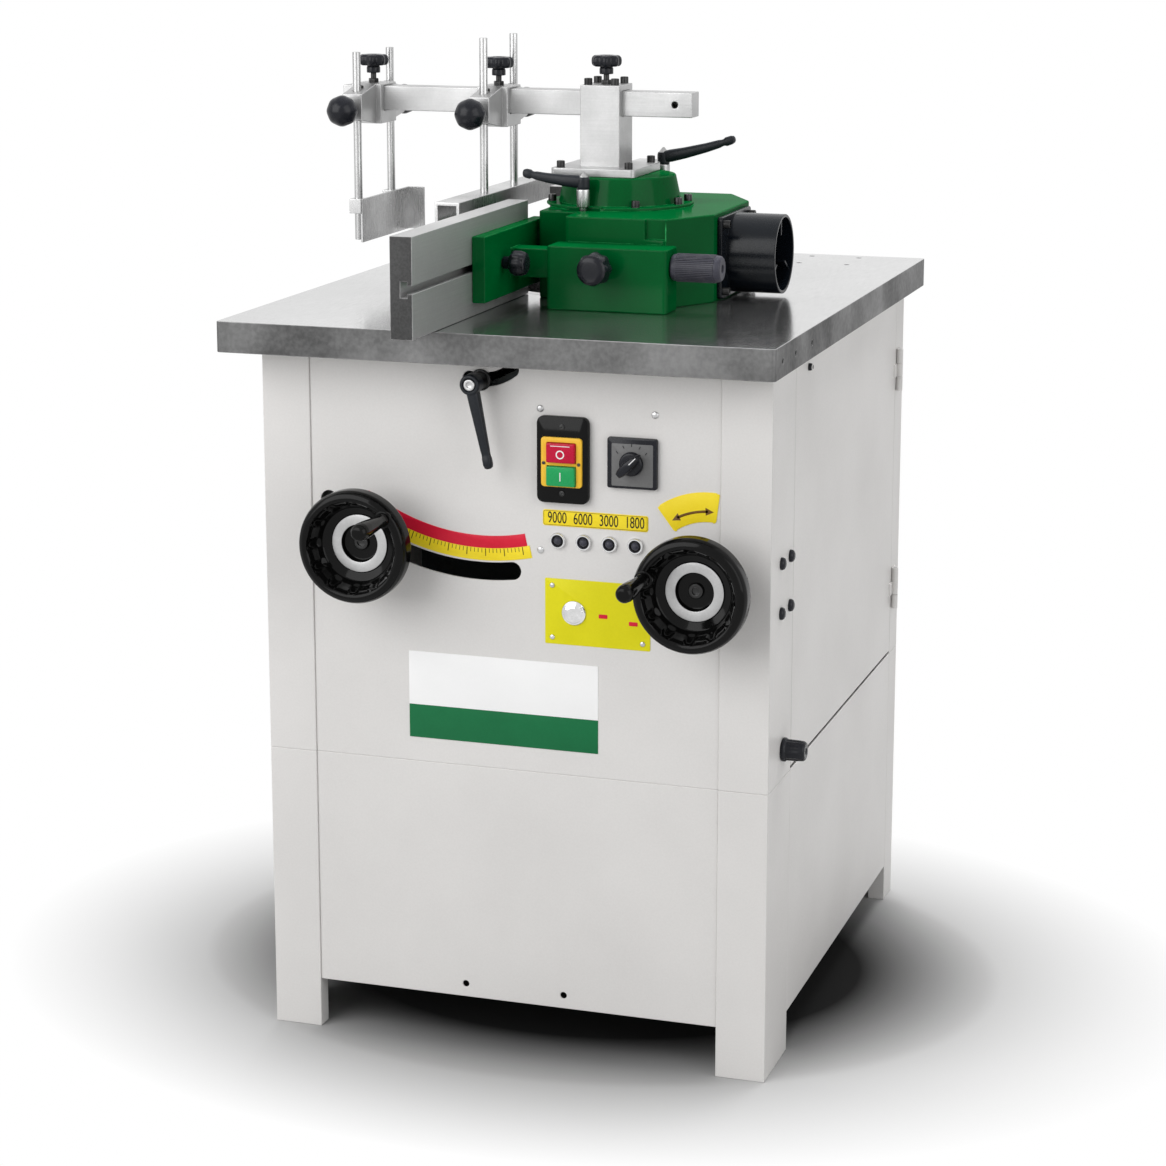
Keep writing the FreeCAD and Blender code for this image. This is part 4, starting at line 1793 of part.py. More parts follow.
NODES = {
    "table_top": table_top,
    "table_ring": table_ring,
    "lower_stand": lower_stand,
    "cabinet_shell": cabinet_shell,
    "control_panel": control_panel,
    "cabinet_hardware": cabinet_hardware,
    "side_door": side_door,
    "hinge_leaves": hinge_leaves,
    "latch_knob": latch_knob,
    "switch_housings": switch_housings,
    "stop_button": stop_button,
    "start_button": start_button,
    "rotary_knob": rotary_knob,
    "indicator_lamps": indicator_lamps,
    "label_plates": label_plates,
    "trunnion_brackets": trunnion_brackets,
    "tilt_cradle": tilt_cradle,
    "tilt_sector": tilt_sector,
    "tilt_countershaft": tilt_countershaft,
    "tilt_gear_bracket": tilt_gear_bracket,
    "tilt_handwheel": tilt_handwheel,
    "tilt_handle": tilt_handle,
    "tilt_lock_lever": tilt_lock_lever,
    "height_handwheel": height_handwheel,
    "height_handle": height_handle,
    "lift_screw": lift_screw,
    "spindle_slide": spindle_slide,
    "quill_housing": quill_housing,
    "spindle_shaft": spindle_shaft,
    "spindle_collars": spindle_collars,
    "spindle_pulley": spindle_pulley,
    "motor_pulley": motor_pulley,
    "drive_belt": drive_belt,
    "motor_housing": motor_housing,
    "hood_casting": hood_casting,
    "hood_screws": hood_screws,
    "dust_port": dust_port,
    "clamp_lever_front": clamp_lever_front,
    "clamp_lever_rear": clamp_lever_rear,
    "near_fence_bracket": near_fence_bracket,
    "fine_adjust_knob": fine_adjust_knob,
    "bracket_lock_knob": bracket_lock_knob,
    "near_fence_plate": near_fence_plate,
    "near_fence_knob": near_fence_knob,
    "far_fence_plate": far_fence_plate,
    "far_fence_knob": far_fence_knob,
    "press_post": press_post,
    "pressure_bar": pressure_bar,
    "bar_knob": bar_knob,
    "inner_carrier": lambda: carrier(CARRIER_XS[0]),
    "inner_carrier_knob": lambda: star_knob(CARRIER_XS[0], BAR_Z + CARRIER_TOP),
    "inner_front_ball_knob": lambda: ball_knob(CARRIER_XS[0], -1),
    "inner_rear_ball_knob": lambda: ball_knob(CARRIER_XS[0], 1),
    "inner_pressure_shoe": inner_pressure_shoe,
    "outer_carrier": lambda: carrier(CARRIER_XS[1]),
    "outer_carrier_knob": lambda: star_knob(CARRIER_XS[1], BAR_Z + CARRIER_TOP),
    "outer_front_ball_knob": lambda: ball_knob(CARRIER_XS[1], -1),
    "outer_rear_ball_knob": lambda: ball_knob(CARRIER_XS[1], 1),
    "outer_pressure_shoe": outer_pressure_shoe,
}

os.makedirs("parts", exist_ok=True)
for name, make in NODES.items():
    shape = make()
    shape.translate(ORIGIN)
    shape.exportStep("parts/" + name + ".step")
    print(name, len(shape.Solids), "solids", "valid" if shape.isValid() else "not valid")
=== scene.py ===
import math

import bmesh
import bpy
from mathutils import Matrix, Vector
from mathutils.kdtree import KDTree


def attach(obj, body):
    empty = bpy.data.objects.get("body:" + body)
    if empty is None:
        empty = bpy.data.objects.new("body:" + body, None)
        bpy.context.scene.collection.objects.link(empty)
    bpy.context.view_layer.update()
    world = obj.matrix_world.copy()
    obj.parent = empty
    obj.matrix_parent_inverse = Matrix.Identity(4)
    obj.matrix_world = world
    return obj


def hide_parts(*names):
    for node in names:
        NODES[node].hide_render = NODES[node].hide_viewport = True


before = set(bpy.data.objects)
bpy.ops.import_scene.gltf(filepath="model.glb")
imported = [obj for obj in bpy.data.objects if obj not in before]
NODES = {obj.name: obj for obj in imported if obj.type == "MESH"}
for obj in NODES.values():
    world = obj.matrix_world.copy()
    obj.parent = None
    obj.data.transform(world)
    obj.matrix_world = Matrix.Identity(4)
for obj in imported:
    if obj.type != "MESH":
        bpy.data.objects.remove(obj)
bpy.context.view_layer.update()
scene = bpy.context.scene

# Places are in millimetres from the floor under the table's middle, as in the part's source.
MM = 0.001
ORIGIN_X = -6.25
ORIGIN_Y = 13.0
TOP = 866.0
PANEL = -343.5
SIDE = 314.5
LABEL = PANEL - 0.7
PRINT = LABEL - 0.12
TILT_AXIS = (-28.0, TOP)
HEIGHT_WHEEL = (-160.9, 615.0)
TILT_WHEEL = (238.5, 588.0)
TILT_LOCK = (-28.0, 805.0)
ROTARY = (153.0, 720.0)
BUTTONS_X = 71.5
CAP_FRONT = PANEL - 15.4
LAMP_PITCH = 30.7
LATCH = (-282.0, 383.0)
FLANGE = 975.0
POST_X = 12.0
POST_TOP = 1116.0
BAR_Z = 1093.5
CARRIER_X = {"inner": -127.0, "outer": -293.0}
CARRIER_TOP = 1111.5
FRONT = (0, -1, 0)
RIGHT = (1, 0, 0)
UP = (0, 0, 1)
SHARP_ANGLE = math.radians(38)
FLAT_ANGLE = math.radians(0.5)
MERGE = 0.00001


def at(x, y, z):
    """A place in the shared frame, in metres."""
    return Vector(((x + ORIGIN_X) * MM, (y + ORIGIN_Y) * MM, z * MM))


# Colours

def linear(value):
    """A screen value from 0 to 255 as linear light."""
    share = value / 255
    return share / 12.92 if share <= 0.04045 else ((share + 0.055) / 1.055) ** 2.4


def rgb(tone):
    """A colour from one grey or from red, green and blue, each from 0 to 255."""
    red, green, blue = (tone, tone, tone) if isinstance(tone, int) else tone
    return (linear(red), linear(green), linear(blue), 1.0)


# Node trees

FLOAT = "NodeSocketFloat"
COLOUR = "NodeSocketColor"
VECTOR = "NodeSocketVector"
GEOMETRY = ("Geometry", "NodeSocketGeometry")
FINISH = ("Finish", "NodeSocketMaterial")


def node_group(name, kind, inputs, outputs):
    """A node tree with its own inputs and outputs, and the sockets that stand for them inside."""
    tree = bpy.data.node_groups.new(name, kind)
    for label, socket_type, *value in inputs:
        socket = tree.interface.new_socket(name=label, in_out="INPUT", socket_type=socket_type)
        if value:
            socket.default_value = value[0]
    for label, socket_type in outputs:
        tree.interface.new_socket(name=label, in_out="OUTPUT", socket_type=socket_type)
    return tree, tree.nodes.new("NodeGroupInput").outputs, tree.nodes.new("NodeGroupOutput").inputs


def feed(tree, socket, value):
    """Gives a socket a link or a plain value."""
    if isinstance(value, bpy.types.NodeSocket):
        tree.links.new(value, socket)
    else:
        socket.default_value = value


def add_node(tree, kind, inputs, **settings):
    """A new node's outputs. It is given its settings and then its inputs."""
    node = tree.nodes.new(kind)
    for label, value in settings.items():
        setattr(node, label, value)
    for key, value in inputs.items():
        feed(tree, node.inputs[key], value)
    return node.outputs


# Shader groups

def object_place(tree):
    return add_node(tree, "ShaderNodeTexCoord", {})["Object"]


def face_normal(tree):
    return add_node(tree, "ShaderNodeNewGeometry", {})["Normal"]


def noise(tree, scale, detail, vector=None):
    inputs = {"Vector": vector or object_place(tree), "Scale": scale, "Detail": detail}
    return add_node(tree, "ShaderNodeTexNoise", inputs)[0]


def ramp(tree, value, low, high, to_low=0.0, to_high=1.0):
    return add_node(tree, "ShaderNodeMapRange", {0: value, 1: low, 2: high, 3: to_low, 4: to_high})[0]


def mixed(tree, factor, first, second):
    """A colour between two, each a socket or a plain colour."""
    return add_node(tree, "ShaderNodeMix", {0: factor, 6: first, 7: second}, data_type="RGBA")[2]


def between(tree, factor, first, second):
    """A value between two."""
    return add_node(tree, "ShaderNodeMix", {0: factor, 2: first, 3: second})[0]


def maths(tree, operation, first, second):
    clamp = operation in ("MULTIPLY", "ADD")
    return add_node(tree, "ShaderNodeMath", {0: first, 1: second}, operation=operation, use_clamp=clamp)[0]


def vector_maths(tree, operation, *values):
    return add_node(tree, "ShaderNodeVectorMath", dict(enumerate(values)), operation=operation)


def bumped(tree, strength, height, distance):
    inputs = {"Strength": strength, "Height": height, "Distance": distance}
    return add_node(tree, "ShaderNodeBump", inputs)[0]


def make_mottle():
    """Soft patches of two colours, with a fine speckle over them."""
    tree, given, out = node_group(
        "mottle", "ShaderNodeTree",
        [("Light", COLOUR, rgb(200)), ("Dark", COLOUR, rgb(150)), ("Patch scale", FLOAT, 12.0),
         ("Speckle scale", FLOAT, 400.0), ("Speckle share", FLOAT, 0.3)],
        [("Colour", COLOUR), ("Mask", FLOAT)])
    patches = ramp(tree, noise(tree, given["Patch scale"], 3.0), 0.32, 0.68)
    speckle = ramp(tree, noise(tree, given["Speckle scale"], 2.0), 0.35, 0.65)
    mask = between(tree, given["Speckle share"], patches, speckle)
    feed(tree, out["Colour"], mixed(tree, mask, given["Light"], given["Dark"]))
    feed(tree, out["Mask"], mask)
    return tree


def make_tool_marks():
    """Fine lines left by grinding or drawing, stretched along one axis."""
    tree, given, out = node_group(
        "tool marks", "ShaderNodeTree",
        [("Stretch", VECTOR, (1.0, 1.0, 1.0)), ("Scale", FLOAT, 300.0), ("Depth", FLOAT, 0.2)],
        [("Mask", FLOAT), ("Normal", VECTOR)])
    stretched = vector_maths(tree, "MULTIPLY", object_place(tree), given["Stretch"])[0]
    lines = ramp(tree, noise(tree, given["Scale"], 4.0, stretched), 0.3, 0.7)
    feed(tree, out["Mask"], lines)
    feed(tree, out["Normal"], bumped(tree, given["Depth"], lines, 0.0002))
    return tree


def make_skin():
    """The slight waviness of paint or moulded plastic."""
    tree, given, out = node_group(
        "surface skin", "ShaderNodeTree", [("Scale", FLOAT, 500.0), ("Depth", FLOAT, 0.1)],
        [("Normal", VECTOR)])
    feed(tree, out["Normal"], bumped(tree, given["Depth"], noise(tree, given["Scale"], 2.0), 0.0004))
    return tree


def make_edge_wear_and_highlight():
    """A mask of the outer edges, broken up by noise."""
    tree, given, out = node_group(
        "edge wear and highlight", "ShaderNodeTree", [("Reach", FLOAT, 0.001), ("Breakup", FLOAT, 90.0)], [("Mask", FLOAT)])
    bevel = add_node(tree, "ShaderNodeBevel", {"Radius": given["Reach"]}, samples=4)[0]
    edge = ramp(tree, vector_maths(tree, "DOT_PRODUCT", bevel, face_normal(tree))["Value"], 0.99, 0.8)
    broken = ramp(tree, noise(tree, given["Breakup"], 4.0), 0.35, 0.65)
    feed(tree, out["Mask"], maths(tree, "MULTIPLY", edge, broken))
    return tree


MOTTLE = make_mottle()
TOOL_MARKS = make_tool_marks()
SKIN = make_skin()
EDGE_WEAR_AND_HIGHLIGHT = make_edge_wear_and_highlight()


# Materials.

METAL_WEAR = 0.0012
TABLE_WEAR = 0.0015


def new_material(name, slot, **sockets):
    material = bpy.data.materials.new(name)
    material.use_nodes = True
    shader = material.node_tree.nodes["Principled BSDF"]
    for label, value in sockets.items():
        shader.inputs[label.replace("_", " ")].default_value = value
    return material, material.node_tree, shader


def placed(tree, group, **values):
    """A group's outputs, with its named inputs set."""
    inputs = {label.replace("_", " "): value for label, value in values.items()}
    return add_node(tree, "ShaderNodeGroup", inputs, node_tree=group)


def mottled(tree, light, dark, patch, speckle, **more):
    tones = {"Light": rgb(light), "Dark": rgb(dark)}
    return placed(tree, MOTTLE, Patch_scale=patch, Speckle_share=speckle, **tones, **more)


def wear_and_highlight_edges(tree, colour, edge_wear_and_highlight, reach):
    return mixed(tree, placed(tree, EDGE_WEAR_AND_HIGHLIGHT, Reach=reach)["Mask"], colour, rgb(edge_wear_and_highlight))


def facing_mask(tree, axis):
    """A mask of the faces that look along one axis, either way."""
    split = add_node(tree, "ShaderNodeSeparateXYZ", {0: face_normal(tree)})
    return ramp(tree, maths(tree, "ABSOLUTE", split[axis], 0.0), 0.6, 0.8)


def dress(tree, shader, colour, roughness, normal):
    for label, value in (("Base Color", colour), ("Roughness", roughness), ("Normal", normal)):
        feed(tree, shader.inputs[label], value)


def coated(name, slot, light, dark, rough, skin, patch=9.0, speckle=0.25, edge_wear_and_highlight=None, reach=0.001,
           specular=0.22, **sockets):
    """Paint or plastic: two close tones, a varying gloss, a wavy skin and, if given, a lighter edge tone,
    which is wear, and on the hood green a painted highlight.
    """
    material, tree, shader = new_material(name, slot, Specular_IOR_Level=specular, **sockets)
    tone = mottled(tree, light, dark, patch, speckle)
    colour = tone["Colour"]
    if edge_wear_and_highlight:
        colour = wear_and_highlight_edges(tree, colour, edge_wear_and_highlight, reach)
    normal = placed(tree, SKIN, Scale=skin[0], Depth=skin[1])["Normal"]
    dress(tree, shader, colour, ramp(tree, tone["Mask"], 0.0, 1.0, *rough), normal)
    return material


def worked_metal(name, slot, light, dark, rough, stretch, scale=260.0, depth=0.12, patch=14.0, metallic=1.0,
                 ends=None, edge_wear_and_highlight=None, line_share=0.45):
    """Bare metal with tool marks along one way. ends gives the two tones of the faces along Y."""
    material, tree, shader = new_material(name, slot, Metallic=metallic)
    tone = mottled(tree, light, dark, patch, 0.2)
    marks = placed(tree, TOOL_MARKS, Stretch=stretch, Scale=scale, Depth=depth)
    share = maths(tree, "MULTIPLY", marks["Mask"], line_share)
    colour = mixed(tree, share, tone["Colour"], rgb(dark))
    dull = maths(tree, "ADD", share, maths(tree, "MULTIPLY", tone["Mask"], 0.5))
    if ends:
        colour = mixed(tree, facing_mask(tree, 1), colour, mottled(tree, *ends, patch * 2, 0.5)["Colour"])
    if edge_wear_and_highlight:
        colour = wear_and_highlight_edges(tree, colour, edge_wear_and_highlight, METAL_WEAR)
    dress(tree, shader, colour, ramp(tree, dull, 0.0, 1.0, *rough), marks["Normal"])
    return material


def ground_table(name, slot):
    """The cast table: a ground top with fine lines and dark machined edges."""
    material, tree, shader = new_material(name, slot, Metallic=0.95)
    along = placed(tree, TOOL_MARKS, Stretch=(1.0, 0.02, 1.0), Scale=1500.0, Depth=0.05)
    share = maths(tree, "MULTIPLY", along["Mask"], 0.3)
    top = mixed(tree, share, mottled(tree, 210, 188, 4.0, 0.3)["Colour"], rgb(158))
    edge = mottled(tree, 122, 74, 9.0, 0.2, Speckle_scale=160.0)
    up = facing_mask(tree, 2)
    colour = wear_and_highlight_edges(tree, mixed(tree, up, edge["Colour"], top), 205, TABLE_WEAR)
    rough_top = ramp(tree, share, 0.0, 0.3, 0.11, 0.21)
    rough_edge = ramp(tree, edge["Mask"], 0.0, 1.0, 0.42, 0.6)
    dress(tree, shader, colour, between(tree, up, rough_edge, rough_top), along["Normal"])
    return material


def printed_finish(name, slot, light, dark, rough=(0.32, 0.42)):
    """The even colour of a label, a plate or a small moulded piece."""
    return coated(name, slot, light, dark, rough, (300.0, 0.03), 18.0)


CABINET_PAINT = coated("cabinet paint", "grey_paint", (226, 224, 222), (218, 216, 214), (0.36, 0.46),
                       (420.0, 0.1), 6.0, 0.3, edge_wear_and_highlight=(234, 232, 230), specular=0.3)
TABLE_IRON = ground_table("ground table iron", "table_iron")
RING_STEEL = worked_metal("table ring steel", "bright_steel", 215, 180, (0.18, 0.34), (1.0, 0.03, 1.0), 900.0)
# The hood's edge tone (60, 178, 104), brighter than its paint, is a painted highlight along its edges, not
# wear.
HOOD_GREEN = coated("hood green enamel", "green_paint", (0, 92, 42), (0, 81, 36), (0.2, 0.3), (180.0, 0.16),
                    11.0, 0.2, edge_wear_and_highlight=(60, 178, 104), reach=0.0016, specular=0.0, Coat_Weight=0.14,
                    Coat_Roughness=0.12)
DARK_IRON = coated("dark cast iron", "dark_iron", (92, 96, 96), (66, 70, 70), (0.5, 0.7), (240.0, 0.4), 16.0,
                   0.45, edge_wear_and_highlight=130, specular=0.3)
BRIGHT_STEEL = worked_metal("bright turned steel", "bright_steel", 205, 160, (0.2, 0.4), (1.0, 1.0, 0.05),
                            700.0)
GEAR_STEEL = worked_metal("cut gear steel", "bright_steel", 165, 115, (0.3, 0.5), (1.0, 0.05, 1.0), edge_wear_and_highlight=205)
SILVER = worked_metal("satin silver", "silver_bar", 188, 166, (0.3, 0.46), (0.03, 1.0, 1.0), 600.0,
                      patch=20.0, edge_wear_and_highlight=228, line_share=0.35, metallic=0.8)
SILVER_ROD = worked_metal("drawn silver rod", "silver_bar", 206, 168, (0.18, 0.34), (1.0, 1.0, 0.02), 700.0)
FENCE_METAL = worked_metal("fence plate metal", "fence_metal", 204, 178, (0.32, 0.46), (1.0, 0.02, 1.0),
                           700.0, patch=8.0, ends=(68, 48), edge_wear_and_highlight=222, metallic=0.7)
MOTOR_PAINT = coated("motor paint", "motor_paint", (92, 102, 112), (80, 90, 100), (0.4, 0.52), (320.0, 0.2),
                     specular=0.3)
BLACK_GLOSS = coated("black handwheel gloss", "black_grip", 13, 8, (0.09, 0.18), (120.0, 0.03), 20.0, 0.3,
                     specular=0.08, Coat_Weight=0.1, Coat_Roughness=0.05)
BLACK_KNOB = coated("black knob plastic", "black_matte", (24, 26, 33), (17, 18, 24), (0.2, 0.32),
                    (700.0, 0.1), 24.0, 0.4, edge_wear_and_highlight=62, reach=0.0008, specular=0.24)
BLACK_PORT = coated("black port plastic", "black_matte", (14, 19, 25), (9, 12, 17), (0.2, 0.32),
                    (260.0, 0.12), 14.0, 0.35, edge_wear_and_highlight=58)
BLACK_LEVER = coated("black lever lacquer", "black_matte", (30, 34, 40), (20, 23, 28), (0.32, 0.44),
                     (520.0, 0.22), 26.0, 0.45, edge_wear_and_highlight=90, specular=0.24)
BLACK_SCREW = worked_metal("blackened screw", "black_steel", 64, 40, (0.3, 0.46), (1.0, 1.0, 0.1), edge_wear_and_highlight=120)
STEEL_SCREW = worked_metal("zinc screw", "bright_steel", 212, 170, (0.22, 0.4), (1.0, 1.0, 0.2), 500.0)
CHROME = worked_metal("lamp chrome", "lamp_chrome", 235, 205, (0.06, 0.14), (1.0, 0.1, 1.0), depth=0.03,
                      patch=60.0)
WHEEL_RING = worked_metal("wheel face ring", "bright_steel", 190, 165, (0.3, 0.44), (1.0, 0.05, 1.0), 480.0,
                          patch=40.0)
KNURL_GREY = coated("knurled grey knob", "knob_grey", (66, 66, 76), (52, 52, 61), (0.34, 0.48), (600.0, 0.2),
                    30.0, 0.4, edge_wear_and_highlight=112, reach=0.0006, specular=0.25)
BELT_RUBBER = coated("belt rubber", "belt_rubber", 40, 28, (0.6, 0.75), (900.0, 0.4), 40.0, 0.5, specular=0.2)
LABEL_YELLOW = printed_finish("label yellow", "label_yellow", (252, 228, 52), (246, 218, 34))
PLATE_YELLOW = printed_finish("plate yellow", "label_yellow", (234, 226, 24), (224, 216, 12))
SCALE_RED = printed_finish("scale red", "stop_red", (224, 32, 62), (212, 24, 52))
PRINT_BLACK = printed_finish("printing black", "black_matte", 24, 16)
PRINT_BROWN = printed_finish("printing brown", "black_matte", (112, 78, 26), (100, 68, 20))
PRINT_WHITE = printed_finish("printing white", "label_yellow", 248, 240)
PLATE_WHITE = printed_finish("plate white", "label_yellow", 254, 250)
PLATE_GREEN = printed_finish("plate green", "start_green", (14, 110, 64), (8, 102, 58))
STOP_RED = printed_finish("stop button red", "stop_red", (204, 14, 62), (190, 8, 52), (0.2, 0.3))
START_GREEN = printed_finish("start button green", "start_green", (40, 172, 100), (30, 158, 88), (0.2, 0.3))
FRAME_YELLOW = printed_finish("switch frame yellow", "label_yellow", (252, 204, 70), (246, 192, 54),
                              (0.28, 0.38))
FACE_GREY = printed_finish("rotary face grey", "knob_grey", 118, 104, (0.36, 0.48))


# Meshes. A finished piece has its place in its mesh.

def new_object(name, data):
    piece = bpy.data.objects.new(name, data)
    scene.collection.objects.link(piece)
    return piece


def shade(mesh):
    for polygon in mesh.polygons:
        polygon.use_smooth = True
    mesh.set_sharp_from_angle(angle=SHARP_ANGLE)


def keep(name, bm, material, recalc=True):
    """A piece from a bmesh."""
    if recalc:
        bmesh.ops.recalc_face_normals(bm, faces=bm.faces)
    mesh = bpy.data.meshes.new(name)
    bm.to_mesh(mesh)
    bm.free()
    shade(mesh)
    mesh.materials.append(material)
    return new_object(name, mesh)


def made_mesh(piece):
    """What an object's modifiers or curves make, as a mesh of its own."""
    return bpy.data.meshes.new_from_object(piece.evaluated_get(bpy.context.evaluated_depsgraph_get()))


def plain(piece):
    """Turns what a piece's modifiers make into its own mesh."""
    mesh = made_mesh(piece)
    piece.modifiers.clear()
    piece.data = mesh


def fit(piece, material, body, *nodes, slot=None):
    """Rides a piece on a body. material and slot are not used."""
    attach(piece, body)
    if nodes:
        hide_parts(*nodes)


def axis_frame(origin, direction):
    """A matrix whose +Z runs along a direction, for shapes drawn in millimetres."""
    turn = Vector(direction).to_track_quat("Z", "Y").to_matrix().to_4x4()
    return Matrix.Translation(origin) @ turn @ Matrix.Scale(MM, 4)


def eased(points, radius, steps=4, closed=False):
    """An outline with its corners rounded."""
    points = [Vector(p) for p in points]
    count = len(points)
    done = [] if closed else [points[0]]
    for index in range(count) if closed else range(1, count - 1):
        corner = points[index]
        back = points[index - 1] - corner
        ahead = points[(index + 1) % count] - corner
        start = corner + back.normalized() * min(radius, back.length * 0.48)
        end = corner + ahead.normalized() * min(radius, ahead.length * 0.48)
        for step in range(steps + 1):
            t = step / steps
            done.append(start * (1 - t) ** 2 + corner * (2 * t * (1 - t)) + end * t ** 2)
    if not closed:
        done.append(points[-1])
    return done


def loft(rows, ring=False):
    """Joins closed rows of points to a ring or to a solid. A row of one point makes a tip."""
    bm = bmesh.new()
    rows = [[bm.verts.new(point) for point in row] for row in rows]
    for low, high in zip(rows, rows[1:] + (rows[:1] if ring else [])):
        for step in range(max(len(low), len(high))):
            around = ((low, step), (low, step + 1), (high, step + 1), (high, step))
            corners = [row[place % len(row)] for row, place in around]
            bm.faces.new(list(dict.fromkeys(corners)))
    if not ring:
        for row in (rows[0], rows[-1]):
            if len(row) > 1:
                bm.faces.new(row)
    return bm


def lathe(profile, place, steps, swell=None, ring=False):
    """A turned shape from (radius, height) pairs, or a ring. swell may change the radius round the turn."""
    rows = []
    for radius, height in profile:
        row = []
        for step in range(steps if radius > 0 else 1):
            angle = 2 * math.pi * step / steps
            out = swell(radius, height, angle) if swell and radius > 0 else radius
            row.append(place @ Vector((out * math.cos(angle), out * math.sin(angle), height)))
        rows.append(row)
    return loft(rows, ring)


def turned(name, profile, seat, material, body, *nodes, steps=36, ease=None, swell=None, ring=False):
    """Fits a turned piece. seat is its origin and axis, ease the radius and steps of its rounded corners."""
    outline = eased(profile, *ease, closed=ring) if ease else profile
    fit(keep(name, lathe(outline, axis_frame(*seat), steps, swell, ring), material), material, body, *nodes)


def inset(loop, distance):
    """A closed outline moved inwards, point by point."""
    done = []
    for index, point in enumerate(loop):
        along = (loop[(index + 1) % len(loop)] - loop[index - 1]).normalized()
        done.append(point + Vector((-along.y, along.x)) * distance)
    return done


def plate(name, loop, back, front, material, body, *nodes, edge=0.2, window=None, slot=None):
    """A plate on the panel: an outline in X and Z between two Y, with its front edge rounded.

    A window has as many points as the outline.
    """
    area = sum(a.x * b.y - b.x * a.y for a, b in zip(loop, loop[1:] + loop[:1]))
    loop = loop if area > 0 else loop[::-1]
    rows = [(loop, back), (loop, front + edge), (inset(loop, edge * 0.3), front + edge * 0.3),
            (inset(loop, edge), front)]
    if window:
        rows += [(window, front), (window, back)]
    bm = loft([[at(p.x, y, p.y) for p in points] for points, y in rows], ring=bool(window))
    fit(keep(name, bm, material), material, body, *nodes, slot=slot)


def rounded_outline(x0, x1, z0, z1, radius, steps=6):
    return eased([(x0, z0), (x1, z0), (x1, z1), (x0, z1)], radius, steps, closed=True)


def on_circle(centre, radius, degrees):
    angle = math.radians(degrees)
    return Vector((centre[0] + radius * math.sin(angle), centre[1] - radius * math.cos(angle)))


def arc_outline(centre, radii, angles, corner=0.0, steps=40):
    """A slice of a flat ring, with its four corners rounded if a radius is given."""
    sweep = [angles[0] + (angles[1] - angles[0]) * step / steps for step in range(steps + 1)]
    outer = [on_circle(centre, radii[1], degrees) for degrees in sweep]
    inner = [on_circle(centre, radii[0], degrees) for degrees in reversed(sweep)]
    if corner <= 0:
        return outer + inner
    rounded = []
    for run, other in ((outer, inner), (inner, outer)):
        start = eased([other[-1], run[0], run[-1]], corner, 4)[1:-1]
        end = eased([run[0], run[-1], other[0]], corner, 4)[1:-1]
        short = [p for p in run if (p - run[0]).length > corner and (p - run[-1]).length > corner]
        rounded += start + short + end
    return rounded


def tapered_bar(name, stations, material, body, *nodes, steps=20, power=3.2):
    """Fits a bar with softly squared sections. A station is a point with two half-width vectors."""
    rows = []
    for centre, wide, deep in stations:
        row = []
        for step in range(steps):
            angle = 2 * math.pi * step / steps
            across = math.copysign(abs(math.cos(angle)) ** (2 / power), math.cos(angle))
            upward = math.copysign(abs(math.sin(angle)) ** (2 / power), math.sin(angle))
            row.append(at(*(centre + wide * across + deep * upward)))
        rows.append(row)
    fit(keep(name, loft(rows), material), material, body, *nodes)


# An angle this near to minus a half turn counts as a half turn.
HALF_TURN_LIMIT = -3.1


def edge_pairs(mesh, edge, numbers):
    """The faces at an edge that belong together: each pair has its solid's material between them."""
    if len(numbers) == 2:
        return [tuple(numbers)]
    start = mesh.vertices[edge[0]].co
    axis = (mesh.vertices[edge[1]].co - start).normalized()
    side = axis.orthogonal()
    rows = []
    for number in numbers:
        face = mesh.polygons[number]
        inward = face.center - start
        inward -= axis * inward.dot(axis)
        angle = math.atan2(inward.dot(axis.cross(side)), inward.dot(side))
        angle += 2 * math.pi if angle < HALF_TURN_LIMIT else 0.0
        rows.append((round(angle, 3), face.normal.dot(axis.cross(inward)) < 0, number))
    rows.sort()
    pairs = []
    for place, (_, opens, number) in enumerate(rows):
        _, still_opens, after = rows[(place + 1) % len(rows)]
        if opens and not still_opens:
            pairs.append((number, after))
    return pairs


def parted(node):
    """A CAD node's shape with its doubles merged, in which solids that touch share no points."""
    mesh = NODES[node].data
    tree = KDTree(len(mesh.vertices))
    for vertex in mesh.vertices:
        tree.insert(vertex.co, vertex.index)
    tree.balance()
    spots = [min(found[1] for found in tree.find_range(v.co, MERGE)) for v in mesh.vertices]
    faces = [tuple(spots[i] for i in polygon.vertices) for polygon in mesh.polygons]
    users = {}
    for number, corners in enumerate(faces):
        for a, b in zip(corners, corners[1:] + corners[:1]):
            users.setdefault((min(a, b), max(a, b)), []).append(number)
    group = list(range(len(faces)))

    def root(number):
        while group[number] != number:
            group[number] = group[group[number]]
            number = group[number]
        return number

    for edge, numbers in users.items():
        for first, second in edge_pairs(mesh, edge, numbers):
            group[root(first)] = root(second)
    bm = bmesh.new()
    verts = {}
    for number, corners in enumerate(faces):
        if len(set(corners)) < len(corners):
            continue
        keys = [(root(number), i) for i in corners]
        for key in keys:
            if key not in verts:
                verts[key] = bm.verts.new(mesh.vertices[key[1]].co)
        bm.faces.new([verts[key] for key in keys])
    return bm


def softened(node, width, material, body):
    """A copy of a CAD node with its outer sharp edges rounded. It stands for the node."""
    bm = parted(node)
    bmesh.ops.dissolve_limit(bm, angle_limit=FLAT_ANGLE, verts=bm.verts, edges=bm.edges)
    sharp = [e for e in bm.edges if len(e.link_faces) == 2 and e.calc_face_angle_signed() > SHARP_ANGLE]
    bmesh.ops.bevel(bm, geom=sharp, offset=width * MM, offset_type="OFFSET", segments=3, profile=0.5,
                    affect="EDGES", clamp_overlap=False)
    piece = keep(node + "_shape", bm, material, recalc=False)
    piece.modifiers.new("flat faces", "WEIGHTED_NORMAL").keep_sharp = True
    plain(piece)
    fit(piece, material, body, node)


